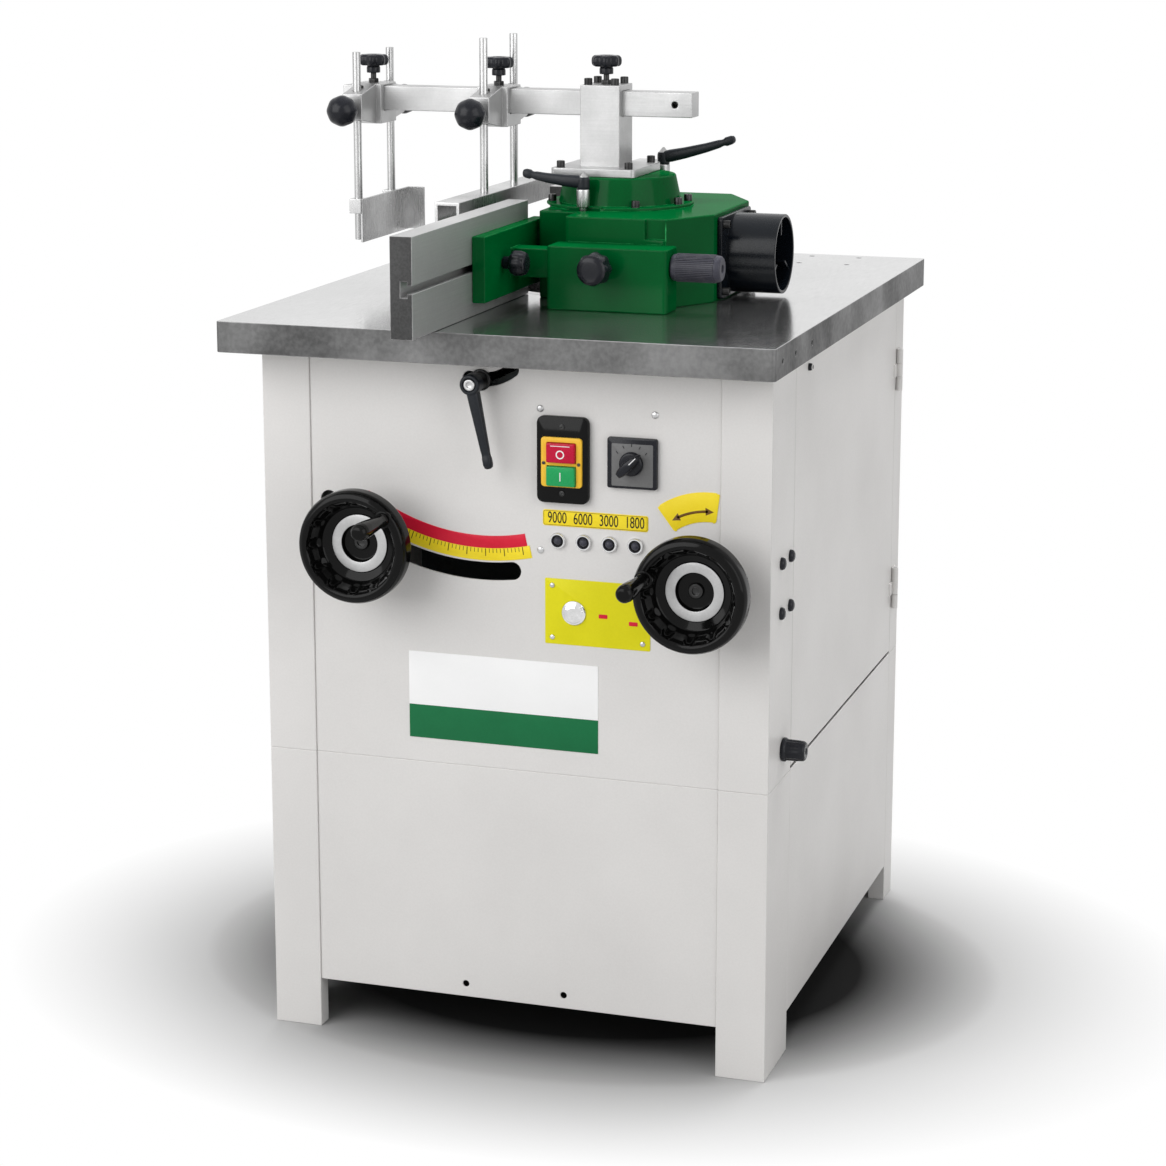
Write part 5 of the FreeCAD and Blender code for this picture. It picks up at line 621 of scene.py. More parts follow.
def part_of(node, chosen):
    """A copy of those separate solids of a CAD node whose box passes a test."""
    bm = bmesh.new()
    bm.from_mesh(NODES[node].data)
    bmesh.ops.remove_doubles(bm, verts=bm.verts, dist=MERGE)
    left = set(bm.verts)
    dropped = []
    while left:
        stack = [left.pop()]
        island = []
        while stack:
            vert = stack.pop()
            island.append(vert)
            for edge in vert.link_edges:
                other = edge.other_vert(vert)
                if other in left:
                    left.remove(other)
                    stack.append(other)
        low = Vector([min(v.co[i] for v in island) for i in range(3)])
        high = Vector([max(v.co[i] for v in island) for i in range(3)])
        if not chosen(low, high):
            dropped += island
    bmesh.ops.delete(bm, geom=dropped, context="VERTS")
    return bm


# Geometry Nodes

def combined(tree, given, *labels):
    inputs = {place: given[label] for place, label in enumerate(labels)}
    return add_node(tree, "ShaderNodeCombineXYZ", inputs)[0]


def aligned(tree, vector, **settings):
    return add_node(tree, "FunctionNodeAlignRotationToVector", {"Vector": vector}, **settings)[0]


def instances(tree, given, out, **sockets):
    """Puts a piece on points, makes the copies real and gives them their material."""
    copies = add_node(tree, "GeometryNodeInstanceOnPoints", sockets)[0]
    real = add_node(tree, "GeometryNodeRealizeInstances", {0: copies})[0]
    finish = {"Geometry": real, "Material": given["Finish"]}
    feed(tree, out[0], add_node(tree, "GeometryNodeSetMaterial", finish)[0])
    return tree


def make_repeat_tree():
    """Puts one small piece on every point, its axis along the point's own direction."""
    tree, given, out = node_group(
        "repeat on points", "GeometryNodeTree",
        [GEOMETRY, ("Piece", "NodeSocketObject"), ("Width", FLOAT), ("Height", FLOAT), FINISH], [GEOMETRY])
    source = add_node(tree, "GeometryNodeObjectInfo", {"Object": given["Piece"]})
    facing = add_node(tree, "GeometryNodeInputNamedAttribute", {"Name": "facing"}, data_type="FLOAT_VECTOR")
    return instances(tree, given, out, Points=given["Geometry"], Instance=source["Geometry"],
                     Rotation=aligned(tree, facing["Attribute"], axis="Z"),
                     Scale=combined(tree, given, "Width", "Width", "Height"))


def make_tick_tree():
    """Short bars along an arc, each pointing at its middle."""
    numbers = [(label, FLOAT) for label in ("Radius", "Start", "Sweep", "Length", "Width", "Height")]
    tree, given, out = node_group(
        "ticks on an arc", "GeometryNodeTree", [GEOMETRY, ("Count", "NodeSocketInt"), *numbers, FINISH],
        [GEOMETRY])
    inputs = {"Resolution": given["Count"], "Radius": given["Radius"], "Start Angle": given["Start"],
              "Sweep Angle": given["Sweep"]}
    arc = add_node(tree, "GeometryNodeCurveArc", inputs, mode="RADIUS")[0]
    size = combined(tree, given, "Width", "Length", "Height")
    bar = add_node(tree, "GeometryNodeMeshCube", {"Size": size})[0]
    points = add_node(tree, "GeometryNodeCurveToPoints", {0: arc}, mode="EVALUATED")
    return instances(tree, given, out, Points=points[0], Instance=bar,
                     Rotation=aligned(tree, points["Tangent"], axis="X", pivot_axis="Z"))


REPEAT_TREE = make_repeat_tree()
TICK_TREE = make_tick_tree()


def run_tree(name, mesh, tree, values):
    """Runs a tree on a mesh with its named inputs set, and keeps the result as a plain mesh."""
    piece = new_object(name, mesh)
    modifier = piece.modifiers.new(name, "NODES")
    modifier.node_group = tree
    for item in tree.interface.items_tree:
        if item.item_type == "SOCKET" and item.in_out == "INPUT" and item.name in values:
            modifier[item.identifier] = values[item.name]
    plain(piece)
    shade(piece.data)
    return piece


def repeated(name, template, places, width, height, material, body, *nodes):
    """Fits a template of unit size at (point, direction) places."""
    mesh = bpy.data.meshes.new(name + "_places")
    mesh.from_pydata([point for point, _ in places], [], [])
    facing = mesh.attributes.new("facing", "FLOAT_VECTOR", "POINT")
    facing.data.foreach_set("vector", [value for _, direction in places for value in direction])
    values = {"Piece": template, "Width": width * MM, "Height": height * MM, "Finish": material}
    fit(run_tree(name, mesh, REPEAT_TREE, values), material, body, *nodes)


def ticks(name, count, radius, angles, size, place, material, body):
    """Fits bars along an arc, moved to their place. size is their width, length and height."""
    width, length, height = size
    values = {"Count": count, "Radius": radius * MM, "Start": angles[0], "Sweep": angles[1] - angles[0],
              "Length": length * MM, "Width": width * MM, "Height": height * MM, "Finish": material}
    piece = run_tree(name, bpy.data.meshes.new(name + "_start"), TICK_TREE, values)
    piece.data.transform(place)
    fit(piece, material, body)


def standing(x, y, z):
    """Stands what lies in X and Y upright at a place on the panel."""
    return Matrix.Translation(at(x, y, z)) @ Matrix.Rotation(math.radians(90), 4, "X")


def panel_ticks(name, centre, count, radius, degrees, width, length, front):
    """Black marks on the panel along an arc about a centre. Degrees count from straight down."""
    angles = [math.radians(value - 90) for value in degrees]
    ticks(name, count, radius, angles, (width, length, 0.3), standing(centre[0], front, centre[1]),
          PRINT_BLACK, "base")


def printed(name, text, size, x, z, narrow):
    """Black figures on a label, thin and flat."""
    curve = bpy.data.curves.new(name, "FONT")
    curve.body = text
    curve.size = size * MM
    curve.extrude = 0.1 * MM
    curve.align_x = "CENTER"
    curve.align_y = "CENTER"
    words = new_object(name + "_curve", curve)
    mesh = made_mesh(words)
    bpy.data.objects.remove(words)
    mesh.transform(standing(x, PRINT, z) @ Matrix.Diagonal((narrow, 1.0, 1.0, 1.0)))
    mesh.materials.clear()
    mesh.materials.append(PRINT_BLACK)
    fit(new_object(name, mesh), PRINT_BLACK, "base")


# Cabinet and table

softened("table_top", 0.9, TABLE_IRON, "base")
softened("table_ring", 0.5, RING_STEEL, "base")
for node, width, body in (("lower_stand", 1.1, "base"), ("cabinet_shell", 1.1, "base"),
                          ("control_panel", 1.0, "base"), ("side_door", 0.8, "door"),
                          ("hinge_leaves", 0.4, "base")):
    softened(node, width, CABINET_PAINT, body)

# Fence hood and what stands on it
PLUG_HALF = 11.7
softened("hood_casting", 2.0, HOOD_GREEN, "hood")
softened("near_fence_bracket", 1.6, HOOD_GREEN, "near_bracket")
softened("dust_port", 0.9, BLACK_PORT, "hood")
softened("press_post", 0.9, SILVER, "hood")
softened("pressure_bar", 1.0, SILVER, "bar")
for label, ends in (("right", (118.0, 124.5)), ("left", (-321.0, -327.5))):
    stations = [(Vector((x, 0, BAR_Z)), Vector((0, PLUG_HALF, 0)), Vector((0, 0, PLUG_HALF))) for x in ends]
    tapered_bar("bar_plug_" + label, stations, BLACK_PORT, "bar", steps=32, power=12.0)
for which in ("near", "far"):
    softened(which + "_fence_plate", 0.8, FENCE_METAL, which + "_plate")
for which in CARRIER_X:
    softened(which + "_carrier", 1.2, SILVER, which + "_carriage")
    softened(which + "_pressure_shoe", 0.6, SILVER_ROD, which + "_shoe")

# What is inside the cabinet keeps its CAD shape
INSIDE = (
    (DARK_IRON, ("trunnion_brackets", "tilt_cradle", "tilt_gear_bracket", "spindle_slide")),
    (GEAR_STEEL, ("tilt_sector", "tilt_countershaft", "lift_screw")),
    (BRIGHT_STEEL, ("quill_housing", "spindle_shaft", "spindle_collars")),
    (SILVER_ROD, ("spindle_pulley", "motor_pulley")),
    (BELT_RUBBER, ("drive_belt",)),
    (MOTOR_PAINT, ("motor_housing",)),
)
for material, nodes in INSIDE:
    for node in nodes:
        NODES[node].data.materials.clear()
        NODES[node].data.materials.append(material)


# Handwheels. Profiles are pairs of a radius and a distance from the panel.

WHEEL_HOLLOWS = 12
WHEEL_STEPS = 144
HANDLE_RADIUS = 54.0
WHEEL_DISH = [
    (0, 6), (17, 6), (17, 25), (24, 29.5), (46, 41), (52, 43.5), (58, 43), (63.4, 46), (66, 52), (66, 66),
    (63.6, 72.2), (58.5, 75), (54.5, 74), (51.6, 69), (49.8, 62), (47.6, 55), (43.5, 49), (34.5, 45),
    (34, 44.5), (22, 44.5), (21, 38.5), (0, 38)]
WHEEL_FACE = [(22.2, 44.4), (33.8, 44.4), (33.8, 46), (22.2, 46)]
WHEEL_SCREW = [(0, 38), (9, 38), (9, 40), (8, 41.5), (4.6, 41.5), (4.2, 39.2), (0, 39)]
HANDLE_SEAT = [(0, 50), (10.5, 50), (10.5, 74), (9.6, 75), (4, 75), (4, 143), (0, 143.6)]
HANDLE_BORE = [(0, 143.9), (4.2, 143.9)]
HANDLE_GRIP = [(4.2, 75.5), (7.4, 75.5), (8.2, 77), (7.2, 80), (7.4, 88), (8.6, 105), (10, 126), (10.4, 138),
               (9.6, 145), (7, 148.6), (0, 149.5)]


def finger_hollows(radius, height, angle):
    """Deepens the inner side of the rim where the fingers go."""
    if not 47 <= radius <= 54 or height < 50:
        return radius
    dip = max(0.0, math.cos(WHEEL_HOLLOWS * angle)) ** 0.7
    return radius + 4.0 * dip * (1 - abs(radius - 50.5) / 4.5)


def handwheel(kind, centre, handle_angle):
    """The dished wheel with its bright ring, the shaft behind it, and the turning handle."""
    node = kind + "_handwheel"
    body = kind + "_wheel"
    seat = (at(centre[0], PANEL, centre[1]), FRONT)
    turned(node + "_dish", WHEEL_DISH, seat, BLACK_GLOSS, body, node, steps=WHEEL_STEPS, ease=(1.6, 3),
           swell=finger_hollows)
    turned(node + "_face_ring", WHEEL_FACE, seat, WHEEL_RING, body, steps=96, ease=(0.5, 3), ring=True)
    turned(node + "_centre_screw", WHEEL_SCREW, seat, BLACK_SCREW, body, ease=(0.4, 2))
    shaft = part_of(node, lambda low, high: high.y > at(0, PANEL + 20, 0).y)
    fit(keep(node + "_shaft", shaft, GEAR_STEEL, False), GEAR_STEEL, body)
    spot = on_circle(centre, HANDLE_RADIUS, handle_angle)
    seat = (at(spot.x, PANEL, spot.y), FRONT)
    turned(node + "_handle_seat", HANDLE_SEAT, seat, BLACK_GLOSS, body, steps=40, ease=(0.8, 3))
    turned(kind + "_handle_grip", HANDLE_BORE + eased(HANDLE_GRIP, 1.2, 3), seat, BLACK_GLOSS, kind + "_grip",
           kind + "_handle", steps=40)


handwheel("height", HEIGHT_WHEEL, 132.0)
handwheel("tilt", TILT_WHEEL, -108.0)


# Levers. A row is a share of the arm's length, its half width and its half depth.

ARM_SIZES = (
    (-0.02, 4.5, 5.0), (0.0, 6.6, 7.2), (0.1, 7.2, 7.8), (0.3, 6.6, 7.0), (0.6, 5.6, 5.8), (0.78, 5.2, 5.0),
    (0.82, 4.9, 4.2), (0.85, 5, 4.2), (0.88, 5.4, 5.6), (0.95, 5.4, 5.4), (0.985, 4.6, 4.2), (1, 2.6, 2.4))


def lever_arm(node, start, way, length, sizes, body, bend=0.0):
    """A clamping lever's arm, across Y. bend lifts its middle."""
    way = Vector(way).normalized()
    across = Vector((0, 1, 0))
    up = way.cross(across).normalized()
    stations = []
    for share, wide, deep in sizes:
        lift = bend * math.sin(math.pi * share)
        stations.append((Vector(start) + way * (length * share) + up * lift, across * wide, up * deep))
    tapered_bar(node[0], stations, BLACK_LEVER, body, node[1])


def clamp_lever(node, body, place, way, post, length, rise):
    """A lever on a post that stands on the hood's flange."""
    seat = (at(*place, FLANGE), UP)
    lever_arm((node + "_arm", node), (*place, FLANGE + post + 8.0), (way * length, 0, rise),
              math.hypot(length, rise), ARM_SIZES, body, -2.0 * way)
    collar = [(0, post - 1), (7.4, post - 1), (7.8, post + 2), (7.8, post + 11), (7, post + 14),
              (0, post + 14.5)]
    turned(node + "_collar", collar, seat, BLACK_LEVER, body, ease=(0.7, 3))
    stud = [(0, -123), (4.8, -123), (4.8, 0.1), (8, 0.2), (8, post - 2), (7.6, post - 0.6), (0, post - 0.6)]
    turned(node + "_post", stud, seat, BRIGHT_STEEL, body, ease=(0.6, 3))
    point = [(0, post + 12), (6.2, post + 12), (5.8, post + 14.4), (1.4, post + 20), (0, post + 20.6)]
    turned(node + "_point", point, seat, BRIGHT_STEEL, body, steps=32, ease=(0.6, 3))


clamp_lever("clamp_lever_front", "front_clamp", (10.0, -85.0), way=-1, post=22.0, length=76.0, rise=9.0)
clamp_lever("clamp_lever_rear", "rear_clamp", (60.0, 85.0), way=1, post=38.0, length=92.0, rise=25.0)


def tilt_lock():
    x, z = TILT_LOCK
    lean = math.radians(12)
    sizes = [(share, deep * 0.95, wide) for share, wide, deep in ARM_SIZES]
    lever_arm(("tilt_lock_arm", "tilt_lock_lever"), (x, PANEL - 31, z), (math.sin(lean), 0, -math.cos(lean)),
              98.0, sizes, "lock_lever")
    seat = (at(x, PANEL, z), FRONT)
    hub = [(0, 22), (10.8, 22), (12, 24), (12, 37), (10.9, 39.6), (8.2, 40), (7.6, 38), (0, 37.6)]
    turned("tilt_lock_hub", hub, seat, BLACK_LEVER, "lock_lever", steps=48, ease=(0.9, 3))
    stud = [(0, -269.5), (6, -269.5), (6, 0.2), (12.5, 0.3), (12.5, 2.6), (11.6, 3.3), (10, 3.4), (9.6, 22),
            (0, 22)]
    turned("tilt_lock_stud", stud, seat, BLACK_SCREW, "lock_lever", steps=40, ease=(0.5, 3))
    screw = [(0, 37.8), (6.6, 37.8), (6.6, 39.4), (5.8, 40), (3.4, 40), (3, 38.2), (0, 38)]
    turned("tilt_lock_screw", screw, seat, STEEL_SCREW, "lock_lever", steps=30, ease=(0.3, 2))


tilt_lock()


# Knobs

def lobes(count, depth, low, high):
    """Waves round the turn between two heights."""
    def swell(radius, height, angle):
        if not low <= height <= high:
            return radius
        return radius * (1 - depth * (0.5 - 0.5 * math.cos(count * angle)))
    return swell


STAR_HEAD = [(0, 12), (8.2, 12), (8.5, 13), (8.5, 19), (7.4, 20.4), (9, 21), (16.5, 21.4), (18.6, 24),
             (19, 28), (18.4, 32), (15.6, 34.6), (9, 34.9), (6, 33.8), (0, 33.4)]
STAR_NUT = [(0, 0.1), (6.6, 0.1), (6.6, 4.6), (5.8, 5.2), (0, 5.2)]
BALL_RADIUS = 19
BALL_MIDDLE = 31.2
BALL_NECK = [(0, 1.0), (6.8, 1.0), (7, 2), (7, 13), (8.5, 15.4)]
BALL_STUD = [(0, -11.7), (3.6, -11.7), (4, -11), (4, 1.2), (0, 1.2)]


def star_knob(node, body, x, foot):
    seat = (at(x, 0.0, foot), UP)
    turned(node + "_head", STAR_HEAD, seat, BLACK_KNOB, body, node, steps=112, ease=(1.4, 3),
           swell=lobes(7, 0.17, 20.5, 34.7))
    bar_top = BAR_Z + 15.3 - foot
    stud = [(0, bar_top), (3.2, bar_top), (3.5, bar_top + 0.6), (3.5, 12.2), (0, 12.2)]
    turned(node + "_stud", stud, seat, BLACK_SCREW, body, steps=24, ease=(0.3, 2))
    turned(node + "_nut", STAR_NUT, seat, BLACK_SCREW, body, steps=6, ease=(0.3, 2))


def ball_knob(node, body, x, way):
    seat = (at(x, way * 72.0, BAR_Z - 10.0), (0, way, 0))
    turns = [math.radians(degrees) for degrees in range(34, 180, 8)]
    ball = [(BALL_RADIUS * math.sin(turn), BALL_MIDDLE - BALL_RADIUS * math.cos(turn)) for turn in turns]
    profile = [Vector(p) for p in BALL_NECK + ball + [(0, BALL_MIDDLE + BALL_RADIUS)]]
    turned(node + "_ball", profile, seat, BLACK_KNOB, body, node, steps=80, swell=lobes(8, 0.035, 16, 49))
    turned(node + "_stud", BALL_STUD, seat, BLACK_SCREW, body, steps=24, ease=(0.3, 2))


star_knob("bar_knob", "bar_star", POST_X, POST_TOP)
for which, x in CARRIER_X.items():
    star_knob(which + "_carrier_knob", which + "_star", x, CARRIER_TOP)
    ball_knob(which + "_front_ball_knob", which + "_near_ball", x, -1)
    ball_knob(which + "_rear_ball_knob", which + "_far_ball", x, 1)


def grip_knob(node, body, seat, radius, length, stud, reach, tail):
    """A fluted black knob on a threaded stud, which may end in a wider tail."""
    third = length / 3
    head = [(0, 0), (radius * 0.5, 0), (radius * 0.5, third - 1), (radius * 0.86, third), (radius, third + 3),
            (radius * 0.98, length * 0.72), (radius * 0.86, length * 0.93), (radius * 0.6, length),
            (0, length)]
    turned(node + "_head", head, seat, BLACK_KNOB, body, node, steps=96, ease=(radius * 0.12, 3),
           swell=lobes(8, 0.09, third - 0.5, length * 0.9))
    shank = [(0, -reach), (stud, -reach), (stud, 0.2), (0, 0.2)]
    if tail:
        shank = [(0, -reach - 7.4), (8.7, -reach - 7.4), (8.7, -reach)] + shank[1:]
    turned(node + "_shank", shank, seat, BLACK_SCREW, body, steps=24, ease=(0.4, 2))


grip_knob("bracket_lock_knob", "bracket_knob", (at(67, -196, 919), FRONT), radius=20.0, length=40.0, stud=5.0,
          reach=8.2, tail=False)
for which, way in (("near", -1), ("far", 1)):
    grip_knob(which + "_fence_knob", which + "_knob", (at(-45, way * 217, 922), RIGHT), radius=15.0,
              length=30.0, stud=4.0, reach=23.3, tail=True)


def fine_knob():
    origin = at(148.0, -172.5, 919.0)
    core = [(0, 0), (14, 0), (15.2, 1.2), (15.6, 4), (15.6, 54), (15, 58), (13, 60), (5, 60), (4.4, 57),
            (0, 56.6)]
    turned("fine_knob_core", core, (origin, RIGHT), KNURL_GREY, "fine_knob", "fine_adjust_knob", steps=72,
           ease=(0.7, 3))
    screw = [(0, -80), (5.4, -80), (6, -79), (6, 0.2), (0, 0.2)]
    turned("fine_knob_screw", screw, (origin, RIGHT), BRIGHT_STEEL, "fine_knob", steps=32, ease=(0.4, 2))
    count = 44
    middle = Matrix.Translation(origin + Vector((29 * MM, 0, 0))) @ Matrix.Rotation(math.pi / 2, 4, "Y")
    ticks("fine_knob_ridges", count, 15.9, (0.0, 2 * math.pi * (count - 1) / count), (1.2, 1.4, 46), middle,
          KNURL_GREY, "fine_knob")


fine_knob()


def latch():
    y, z = LATCH
    seat = (at(SIDE, y, z), RIGHT)
    knob = [(0, 0.3), (13.4, 0.3), (14, 1.2), (14, 4), (12.6, 6), (12.2, 20), (11.4, 26), (9.6, 28), (4, 28),
            (3.4, 26.6), (0, 26.4)]
    turned("latch_knob_head", knob, seat, BLACK_KNOB, "latch", "latch_knob", steps=96, ease=(0.9, 3),
           swell=lobes(12, 0.06, 5, 25))
    shank = [(0, -7.3), (4, -7.3), (4, 0.4), (0, 0.4)]
    turned("latch_shank", shank, seat, BLACK_SCREW, "latch", steps=24)
    stations = [(Vector((SIDE - 5.3, y, z + rise)), Vector((0, half, 0)), Vector((2, 0, 0)))
                for rise, half in ((-4, 5.4), (-3, 6.6), (0, 7), (48, 7), (51, 6.2), (52, 4.6))]
    tapered_bar("latch_cam", stations, STEEL_SCREW, "latch", steps=16, power=6.0)


latch()


# Small fittings. A unit piece has radius 1, and its height counts from its seat.

def unit(name, profile, steps=24, ring=False):
    return keep(name + "_unit", lathe(profile, Matrix.Identity(4), steps, ring=ring), BLACK_SCREW)


SOCKET_SCREW = unit("socket_screw", [(0, 0), (1, 0), (1, 0.88), (0.9, 1), (0.5, 1), (0.46, 0.45), (0, 0.4)])
DOMED_CAP = unit("domed_cap", [(0, 0), (1, 0), (1, 0.4), (0.86, 0.72), (0.5, 0.94), (0, 1)])
LENS_RING = unit("lens_ring", [(0.62, 0.3), (0.7, 0), (1, 0), (1, 0.5), (0.9, 0.8), (0.76, 0.8),
                               (0.66, 0.55)], 36, True)
SIGNS = (-1, 1)
DOME_X = 30
DOME_SCREW_RADIUS = 83
PIN_LENGTH = 0.05


def hood_screw_places():
    places = []
    for i in SIGNS:
        for j in SIGNS:
            places.append((at(POST_X + i * 43, j * 47, 1018), UP))
            places.append((at(POST_X + i * 17, j * 19, POST_TOP), UP))
            places.append((at(178, i * 58.5, 917 + j * 40), RIGHT))
    for degrees in (15, 120, 160, 200, 300, 345):
        angle = math.radians(degrees)
        x = DOME_X + DOME_SCREW_RADIUS * math.cos(angle)
        places.append((at(x, DOME_SCREW_RADIUS * math.sin(angle), FLANGE), UP))
    return places


repeated("hood_cap_screws", SOCKET_SCREW, hood_screw_places(), 5.0, 8.0, BLACK_SCREW, "hood", "hood_screws")
for which, x in CARRIER_X.items():
    spots = [(at(x, way * 44.0, CARRIER_TOP - 7.0), UP) for way in SIGNS]
    repeated(which + "_carrier_screws", SOCKET_SCREW, spots, 4.0, 6.0, BLACK_SCREW, which + "_carriage")
spots = [(at(SIDE, y, z), RIGHT) for y in (-300, -259) for z in (548, 606)]
repeated("side_bolt_caps", DOMED_CAP, spots, 7.2, 6.0, BLACK_KNOB, "base", "cabinet_hardware")
spots = [(at(110.8 + i * 67.7, PANEL, 694 + j * 82), FRONT) for i in SIGNS for j in SIGNS]
repeated("panel_screws", DOMED_CAP, spots, 4.0, 2.0, STEEL_SCREW, "base")
pins = part_of("cabinet_hardware", lambda low, high: high.z - low.z > PIN_LENGTH)
fit(keep("hinge_pins", pins, STEEL_SCREW, False), STEEL_SCREW, "base")
repeated("door_stop_cap", DOMED_CAP, [(at(SIDE, -183, 812), RIGHT)], 4.4, 5.6, BLACK_KNOB, "door")
spots = [(at(64.2 + LAMP_PITCH * i, PANEL, 624.5), FRONT) for i in range(4)]
repeated("lamp_rings", LENS_RING, spots, 9.5, 5.0, CHROME, "base", "indicator_lamps")
repeated("lamp_wells", DOMED_CAP, spots, 7.6, 1.6, PRINT_BLACK, "base")
repeated("lamp_lenses", DOMED_CAP, spots, 4.6, 6.0, KNURL_GREY, "base")


def rotary_switch():
    x, z = ROTARY
    face = PANEL - 6.6
    frame_loop = rounded_outline(x - 29, x + 29, z - 29, z + 29, 3.0)
    plate("rotary_frame", frame_loop, PANEL, PANEL - 6, BLACK_KNOB, "base", "switch_housings", edge=1.2)
    plate("rotary_face", rounded_outline(x - 23.5, x + 25, z - 26, z + 22.5, 1.5), PANEL - 5.5, PANEL - 6.5,
          FACE_GREY, "base", edge=0.3)
    panel_ticks("rotary_marks", ROTARY, 5, 21.0, (126, 234), 0.9, 3.4, PANEL - 6.55)
    backs = part_of("switch_housings", lambda low, high: high.y > at(0, PANEL + 10, 0).y)
    outside = [v for v in backs.verts if v.co.y < at(0, PANEL - 0.2, 0).y]
    bmesh.ops.delete(backs, geom=outside, context="VERTS")
    bmesh.ops.holes_fill(backs, edges=backs.edges)
    fit(keep("switch_backs", backs, BLACK_KNOB), BLACK_KNOB, "base")
    seat = (at(x, face, z), FRONT)
    disc = [(0, 0), (13.4, 0), (14, 0.6), (13.4, 4.4), (11.6, 5.6), (0, 6)]
    turned("rotary_disc", disc, seat, BLACK_KNOB, "rotary", "rotary_knob", steps=48, ease=(0.6, 3))
    shaft = [(0, -9.5), (4, -9.5), (4, 0.3), (0, 0.3)]
    turned("rotary_shaft", shaft, seat, STEEL_SCREW, "rotary", steps=24)
    lean = math.radians(45)
    way = Vector((math.sin(lean), 0, math.cos(lean)))
    across = Vector(FRONT).cross(way)
    stations = []
    sections = ((-17, 1.6, 7, 15), (-16, 3.6, 5.5, 17.5), (-12, 5, 5, 19), (0, 6.4, 5, 20.5),
                (9, 4.6, 5, 20.5), (15, 2.6, 5.2, 18.5), (17, 1.2, 6, 15))
    for along, wide, low, high in sections:
        centre = Vector((x, face - (low + high) / 2, z)) + way * along
        stations.append((centre, across * wide, Vector((0, (high - low) / 2, 0))))
    tapered_bar("rotary_pointer", stations, BLACK_KNOB, "rotary", power=4.0)
    turn = Matrix.Rotation(-lean, 2)
    line = [turn @ p + Vector(ROTARY) for p in rounded_outline(-0.5, 0.5, 4.0, 15.0, 0.4)]
    plate("rotary_pointer_line", line, PANEL - 26.4, PANEL - 27.2, PRINT_WHITE, "rotary", edge=0.1)


rotary_switch()


def push_buttons():
    x = BUTTONS_X

    def outline(half, low, high, radius, steps):
        return rounded_outline(x - half, x + half, low, high, radius, steps)

    window = outline(17.6, 689.8, 740.4, 2.2, 8)
    plate("switch_plate", outline(30.5, 669.45, 768.95, 9.0, 8), PANEL, PANEL - 8, BLACK_GLOSS, "base",
          edge=1.6, window=window, slot="black_matte")
    plate("switch_frame", outline(24.25, 688.8, 745.8, 4.5, 8), PANEL - 7.9, PANEL - 11, FRAME_YELLOW, "base",
          edge=0.8, window=window)
    plate("switch_bar", outline(17.7, 713.4, 716.7, 0.4, 2), PANEL - 1, PANEL - 11, FRAME_YELLOW, "base",
          edge=0.3)
    plate("switch_well", outline(17.7, 689.7, 740.5, 2.2, 4), PANEL, PANEL - 1.5, PRINT_BLACK, "base",
          edge=0.1)
    for label, z, material in (("stop", 728.5, STOP_RED), ("start", 701.6, START_GREEN)):
        plate(label + "_cap", outline(17, z - 11.2, z + 11.2, 2.0, 5), PANEL - 6, CAP_FRONT, material, label,
              label + "_button", edge=1.4)
    circle = [(3.6, 0), (5, 0), (5, 0.25), (3.6, 0.25)]
    turned("stop_mark", circle, (at(x, CAP_FRONT, 727), FRONT), PRINT_WHITE, "stop", steps=40, ring=True)
    for label, body, mark in (("stop_bar", "stop", outline(11.5, 736.2, 737, 0.3, 2)),
                              ("start_mark", "start", outline(0.6, 696.5, 706.5, 0.3, 2))):
        plate(label, mark, CAP_FRONT + 0.1, CAP_FRONT - 0.25, PRINT_WHITE, body, edge=0.1)
    places = [(at(x, PANEL - 8, z), FRONT) for z in (681, 757.5)]
    repeated("switch_screws", SOCKET_SCREW, places, 3.0, 1.4, BLACK_SCREW, "base")
    places = [(at(x + way * 20.8, PANEL - 11, 716), FRONT) for way in SIGNS]
    repeated("frame_screws", SOCKET_SCREW, places, 1.9, 1.0, BLACK_SCREW, "base")


push_buttons()


# Labels

SCALE_RADII = (242, 256.5, 271)
SCALE_TICKS = (-34, 11)
ARROW = (242.0, 591.0)


def label_plate(name, loop, material, *nodes):
    plate(name, loop, PANEL, LABEL, material, "base", *nodes)


def print_plate(name, loop):
    plate(name, loop, LABEL, PRINT, PRINT_BROWN, "base", edge=0.05)


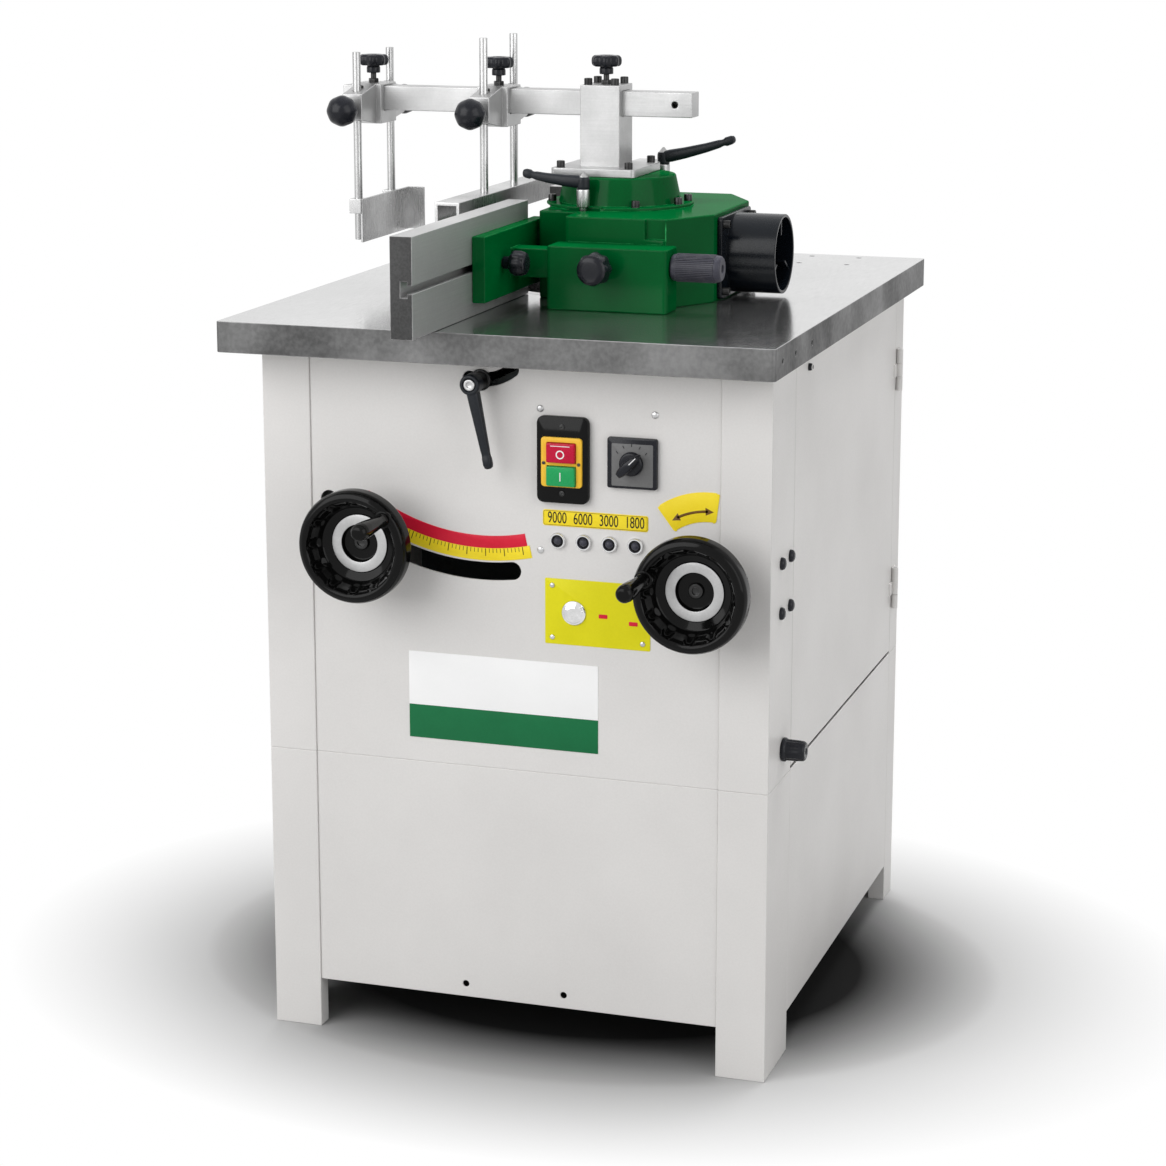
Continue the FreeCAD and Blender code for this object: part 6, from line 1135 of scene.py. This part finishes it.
def labels():
    label_plate("speed_strip", rounded_outline(46, 171, 641.5, 660, 3.0), LABEL_YELLOW, "label_plates")
    for index, text in enumerate(("9000", "6000", "3000", "1800")):
        printed("speed_" + text, text, 18.6, 63.2 + LAMP_PITCH * index, 650.7, 0.62)
    border = rounded_outline(46.9, 170.1, 642.4, 659.1, 2.4)
    plate("speed_border", border, LABEL, PRINT, PRINT_BROWN, "base", edge=0.04, window=inset(border, 0.5))
    label_plate("control_plate", rounded_outline(48.4, 174, 503, 580, 1.5), PLATE_YELLOW)
    corners = [(at(111.2 + i * 54, LABEL, 541.5 + j * 30.5), FRONT) for i in SIGNS for j in SIGNS]
    repeated("plate_screws", DOMED_CAP, corners, 3.0, 1.8, STEEL_SCREW, "base")
    for index, (x, z) in enumerate(((118, 539.5), (154, 533.5))):
        mark = rounded_outline(x - 5.2, x + 5.2, z - 2.4, z + 2.4, 0.8)
        plate("red_mark_%d" % index, mark, LABEL, PRINT - 0.1, SCALE_RED, "base", edge=0.1)
    dome = [(0, 0), (14.5, 0), (14.5, 1.2), (13.2, 2.4), (11.8, 2.2), (11.2, 2.8), (7, 4.4), (0, 5)]
    turned("pilot_dome", dome, (at(83, LABEL, 541), FRONT), CHROME, "base", steps=48, ease=(0.5, 3))
    label_plate("name_plate_upper", rounded_outline(-119.6, 112, 416, 480, 0.6, 2), PLATE_WHITE)
    label_plate("name_plate_lower", rounded_outline(-119.6, 112, 376, 416, 0.6, 2), PLATE_GREEN)
    label_plate("tilt_scale_upper", arc_outline(TILT_AXIS, SCALE_RADII[:2], (-35, 12.4)), SCALE_RED)
    label_plate("tilt_scale_lower", arc_outline(TILT_AXIS, SCALE_RADII[1:], (-35, 13)), LABEL_YELLOW)
    panel_ticks("tilt_scale_ticks", TILT_AXIS, 46, 259.4, SCALE_TICKS, 0.5, 5.0, PRINT)
    panel_ticks("tilt_scale_long_ticks", TILT_AXIS, 10, 261.4, SCALE_TICKS, 0.8, 9.0, PRINT)
    label_plate("arrow_label", arc_outline(ARROW, (67, 101), (217, 173), 3.0), LABEL_YELLOW)
    print_plate("arrow_band", arc_outline(ARROW, (77.5, 80.5), (208, 181), steps=24))
    for index, (tip, tail) in enumerate(((213, 206), (176, 183))):
        head = [on_circle(ARROW, 79, tip), on_circle(ARROW, 83.5, tail), on_circle(ARROW, 74.5, tail)]
        print_plate("arrow_head_%d" % index, head)


labels()
for piece in (SOCKET_SCREW, DOMED_CAP, LENS_RING):
    bpy.data.objects.remove(piece)


# Studio. Its lengths are in metres. A lamp has a place, a target, a size and a power.

FLOOR_HALF = 14.0
SKY_LIGHT = 0.22
LAMPS = (("key", (-2.3, -3.6, 2.7), (0.0, 0.0, 0.65), 4.2, 164.0),
         ("fill", (3.6, -1.8, 2.0), (0.0, 0.0, 0.7), 3.2, 54.0),
         ("top", (0.2, 1.0, 3.6), (0.0, 0.0, 0.6), 2.2, 124.0))


def seen_rays(tree, *kinds):
    """A mask of the rays of these kinds."""
    rays = add_node(tree, "ShaderNodeLightPath", {})
    mask = rays[kinds[0]]
    for kind in kinds[1:]:
        mask = maths(tree, "ADD", mask, rays[kind])
    return mask


def pale_floor():
    """A floor with a painted shadow, dark under the part, that runs out to white."""
    bm = bmesh.new()
    bmesh.ops.create_grid(bm, x_segments=2, y_segments=2, size=FLOOR_HALF)
    mesh = bpy.data.meshes.new("studio_floor")
    bm.to_mesh(mesh)
    bm.free()
    floor = new_object("studio_floor", mesh)
    material, tree, shader = new_material("pale floor", None, Roughness=0.9, Specular_IOR_Level=0.1)
    oval = vector_maths(tree, "MULTIPLY", object_place(tree), (1.0, 1.25, 1.0))[0]
    spread = vector_maths(tree, "LENGTH", oval)["Value"]
    # The base colour is a painted shadow: rgb(30) under the part, rising to rgb(194) around it.
    feed(tree, shader.inputs["Base Color"], mixed(tree, ramp(tree, spread, 0.34, 0.52), rgb(30), rgb(194)))
    seen = seen_rays(tree, "Is Camera Ray", "Is Glossy Ray")
    far = maths(tree, "MULTIPLY", ramp(tree, spread, 0.5, 0.78), seen)
    white = add_node(tree, "ShaderNodeEmission", {"Color": (1, 1, 1, 1)})[0]
    blend = add_node(tree, "ShaderNodeMixShader", {0: far, 1: shader.outputs[0], 2: white})[0]
    feed(tree, tree.nodes["Material Output"].inputs["Surface"], blend)
    mesh.materials.append(material)


def studio():
    pale_floor()
    scene.world = bpy.data.worlds.new("studio")
    scene.world.use_nodes = True
    tree = scene.world.node_tree
    sky = tree.nodes["Background"]
    sky.inputs["Color"].default_value = (1, 1, 1, 1)
    seen = seen_rays(tree, "Is Camera Ray", "Is Glossy Ray", "Is Transmission Ray")
    feed(tree, sky.inputs["Strength"], ramp(tree, seen, 0.0, 1.0, SKY_LIGHT, 1.0))
    for name, place, target, size, power in LAMPS:
        light = bpy.data.lights.new("studio_" + name, "AREA")
        light.size = size
        light.energy = power
        lamp = new_object("studio_" + name, light)
        lamp.location = place
        lamp.rotation_euler = (Vector(target) - Vector(place)).to_track_quat("-Z", "Y").to_euler()
        lamp.visible_glossy = name != "top"


# The camera was found from the photograph. Its lens is in millimetres, its angles in radians.
CAMERA_PLACE = (1090.3, -3405.8, 1366.1)
CAMERA_LENS = 89.951
CAMERA_SHIFT = -0.08
CAMERA_DROP = 0.2083
CAMERA_TURN = 0.3146


def photo_camera():
    lens = bpy.data.cameras.new("photo_camera")
    lens.lens = CAMERA_LENS
    lens.sensor_width = 36.0
    lens.shift_y = CAMERA_SHIFT
    lens.clip_end = 60.0
    camera = new_object("photo_camera", lens)
    camera.location = at(*CAMERA_PLACE)
    camera.rotation_euler = (math.pi / 2 - CAMERA_DROP, 0.0, CAMERA_TURN)
    scene.camera = camera


studio()
photo_camera()
scene.view_settings.view_transform = "Standard"
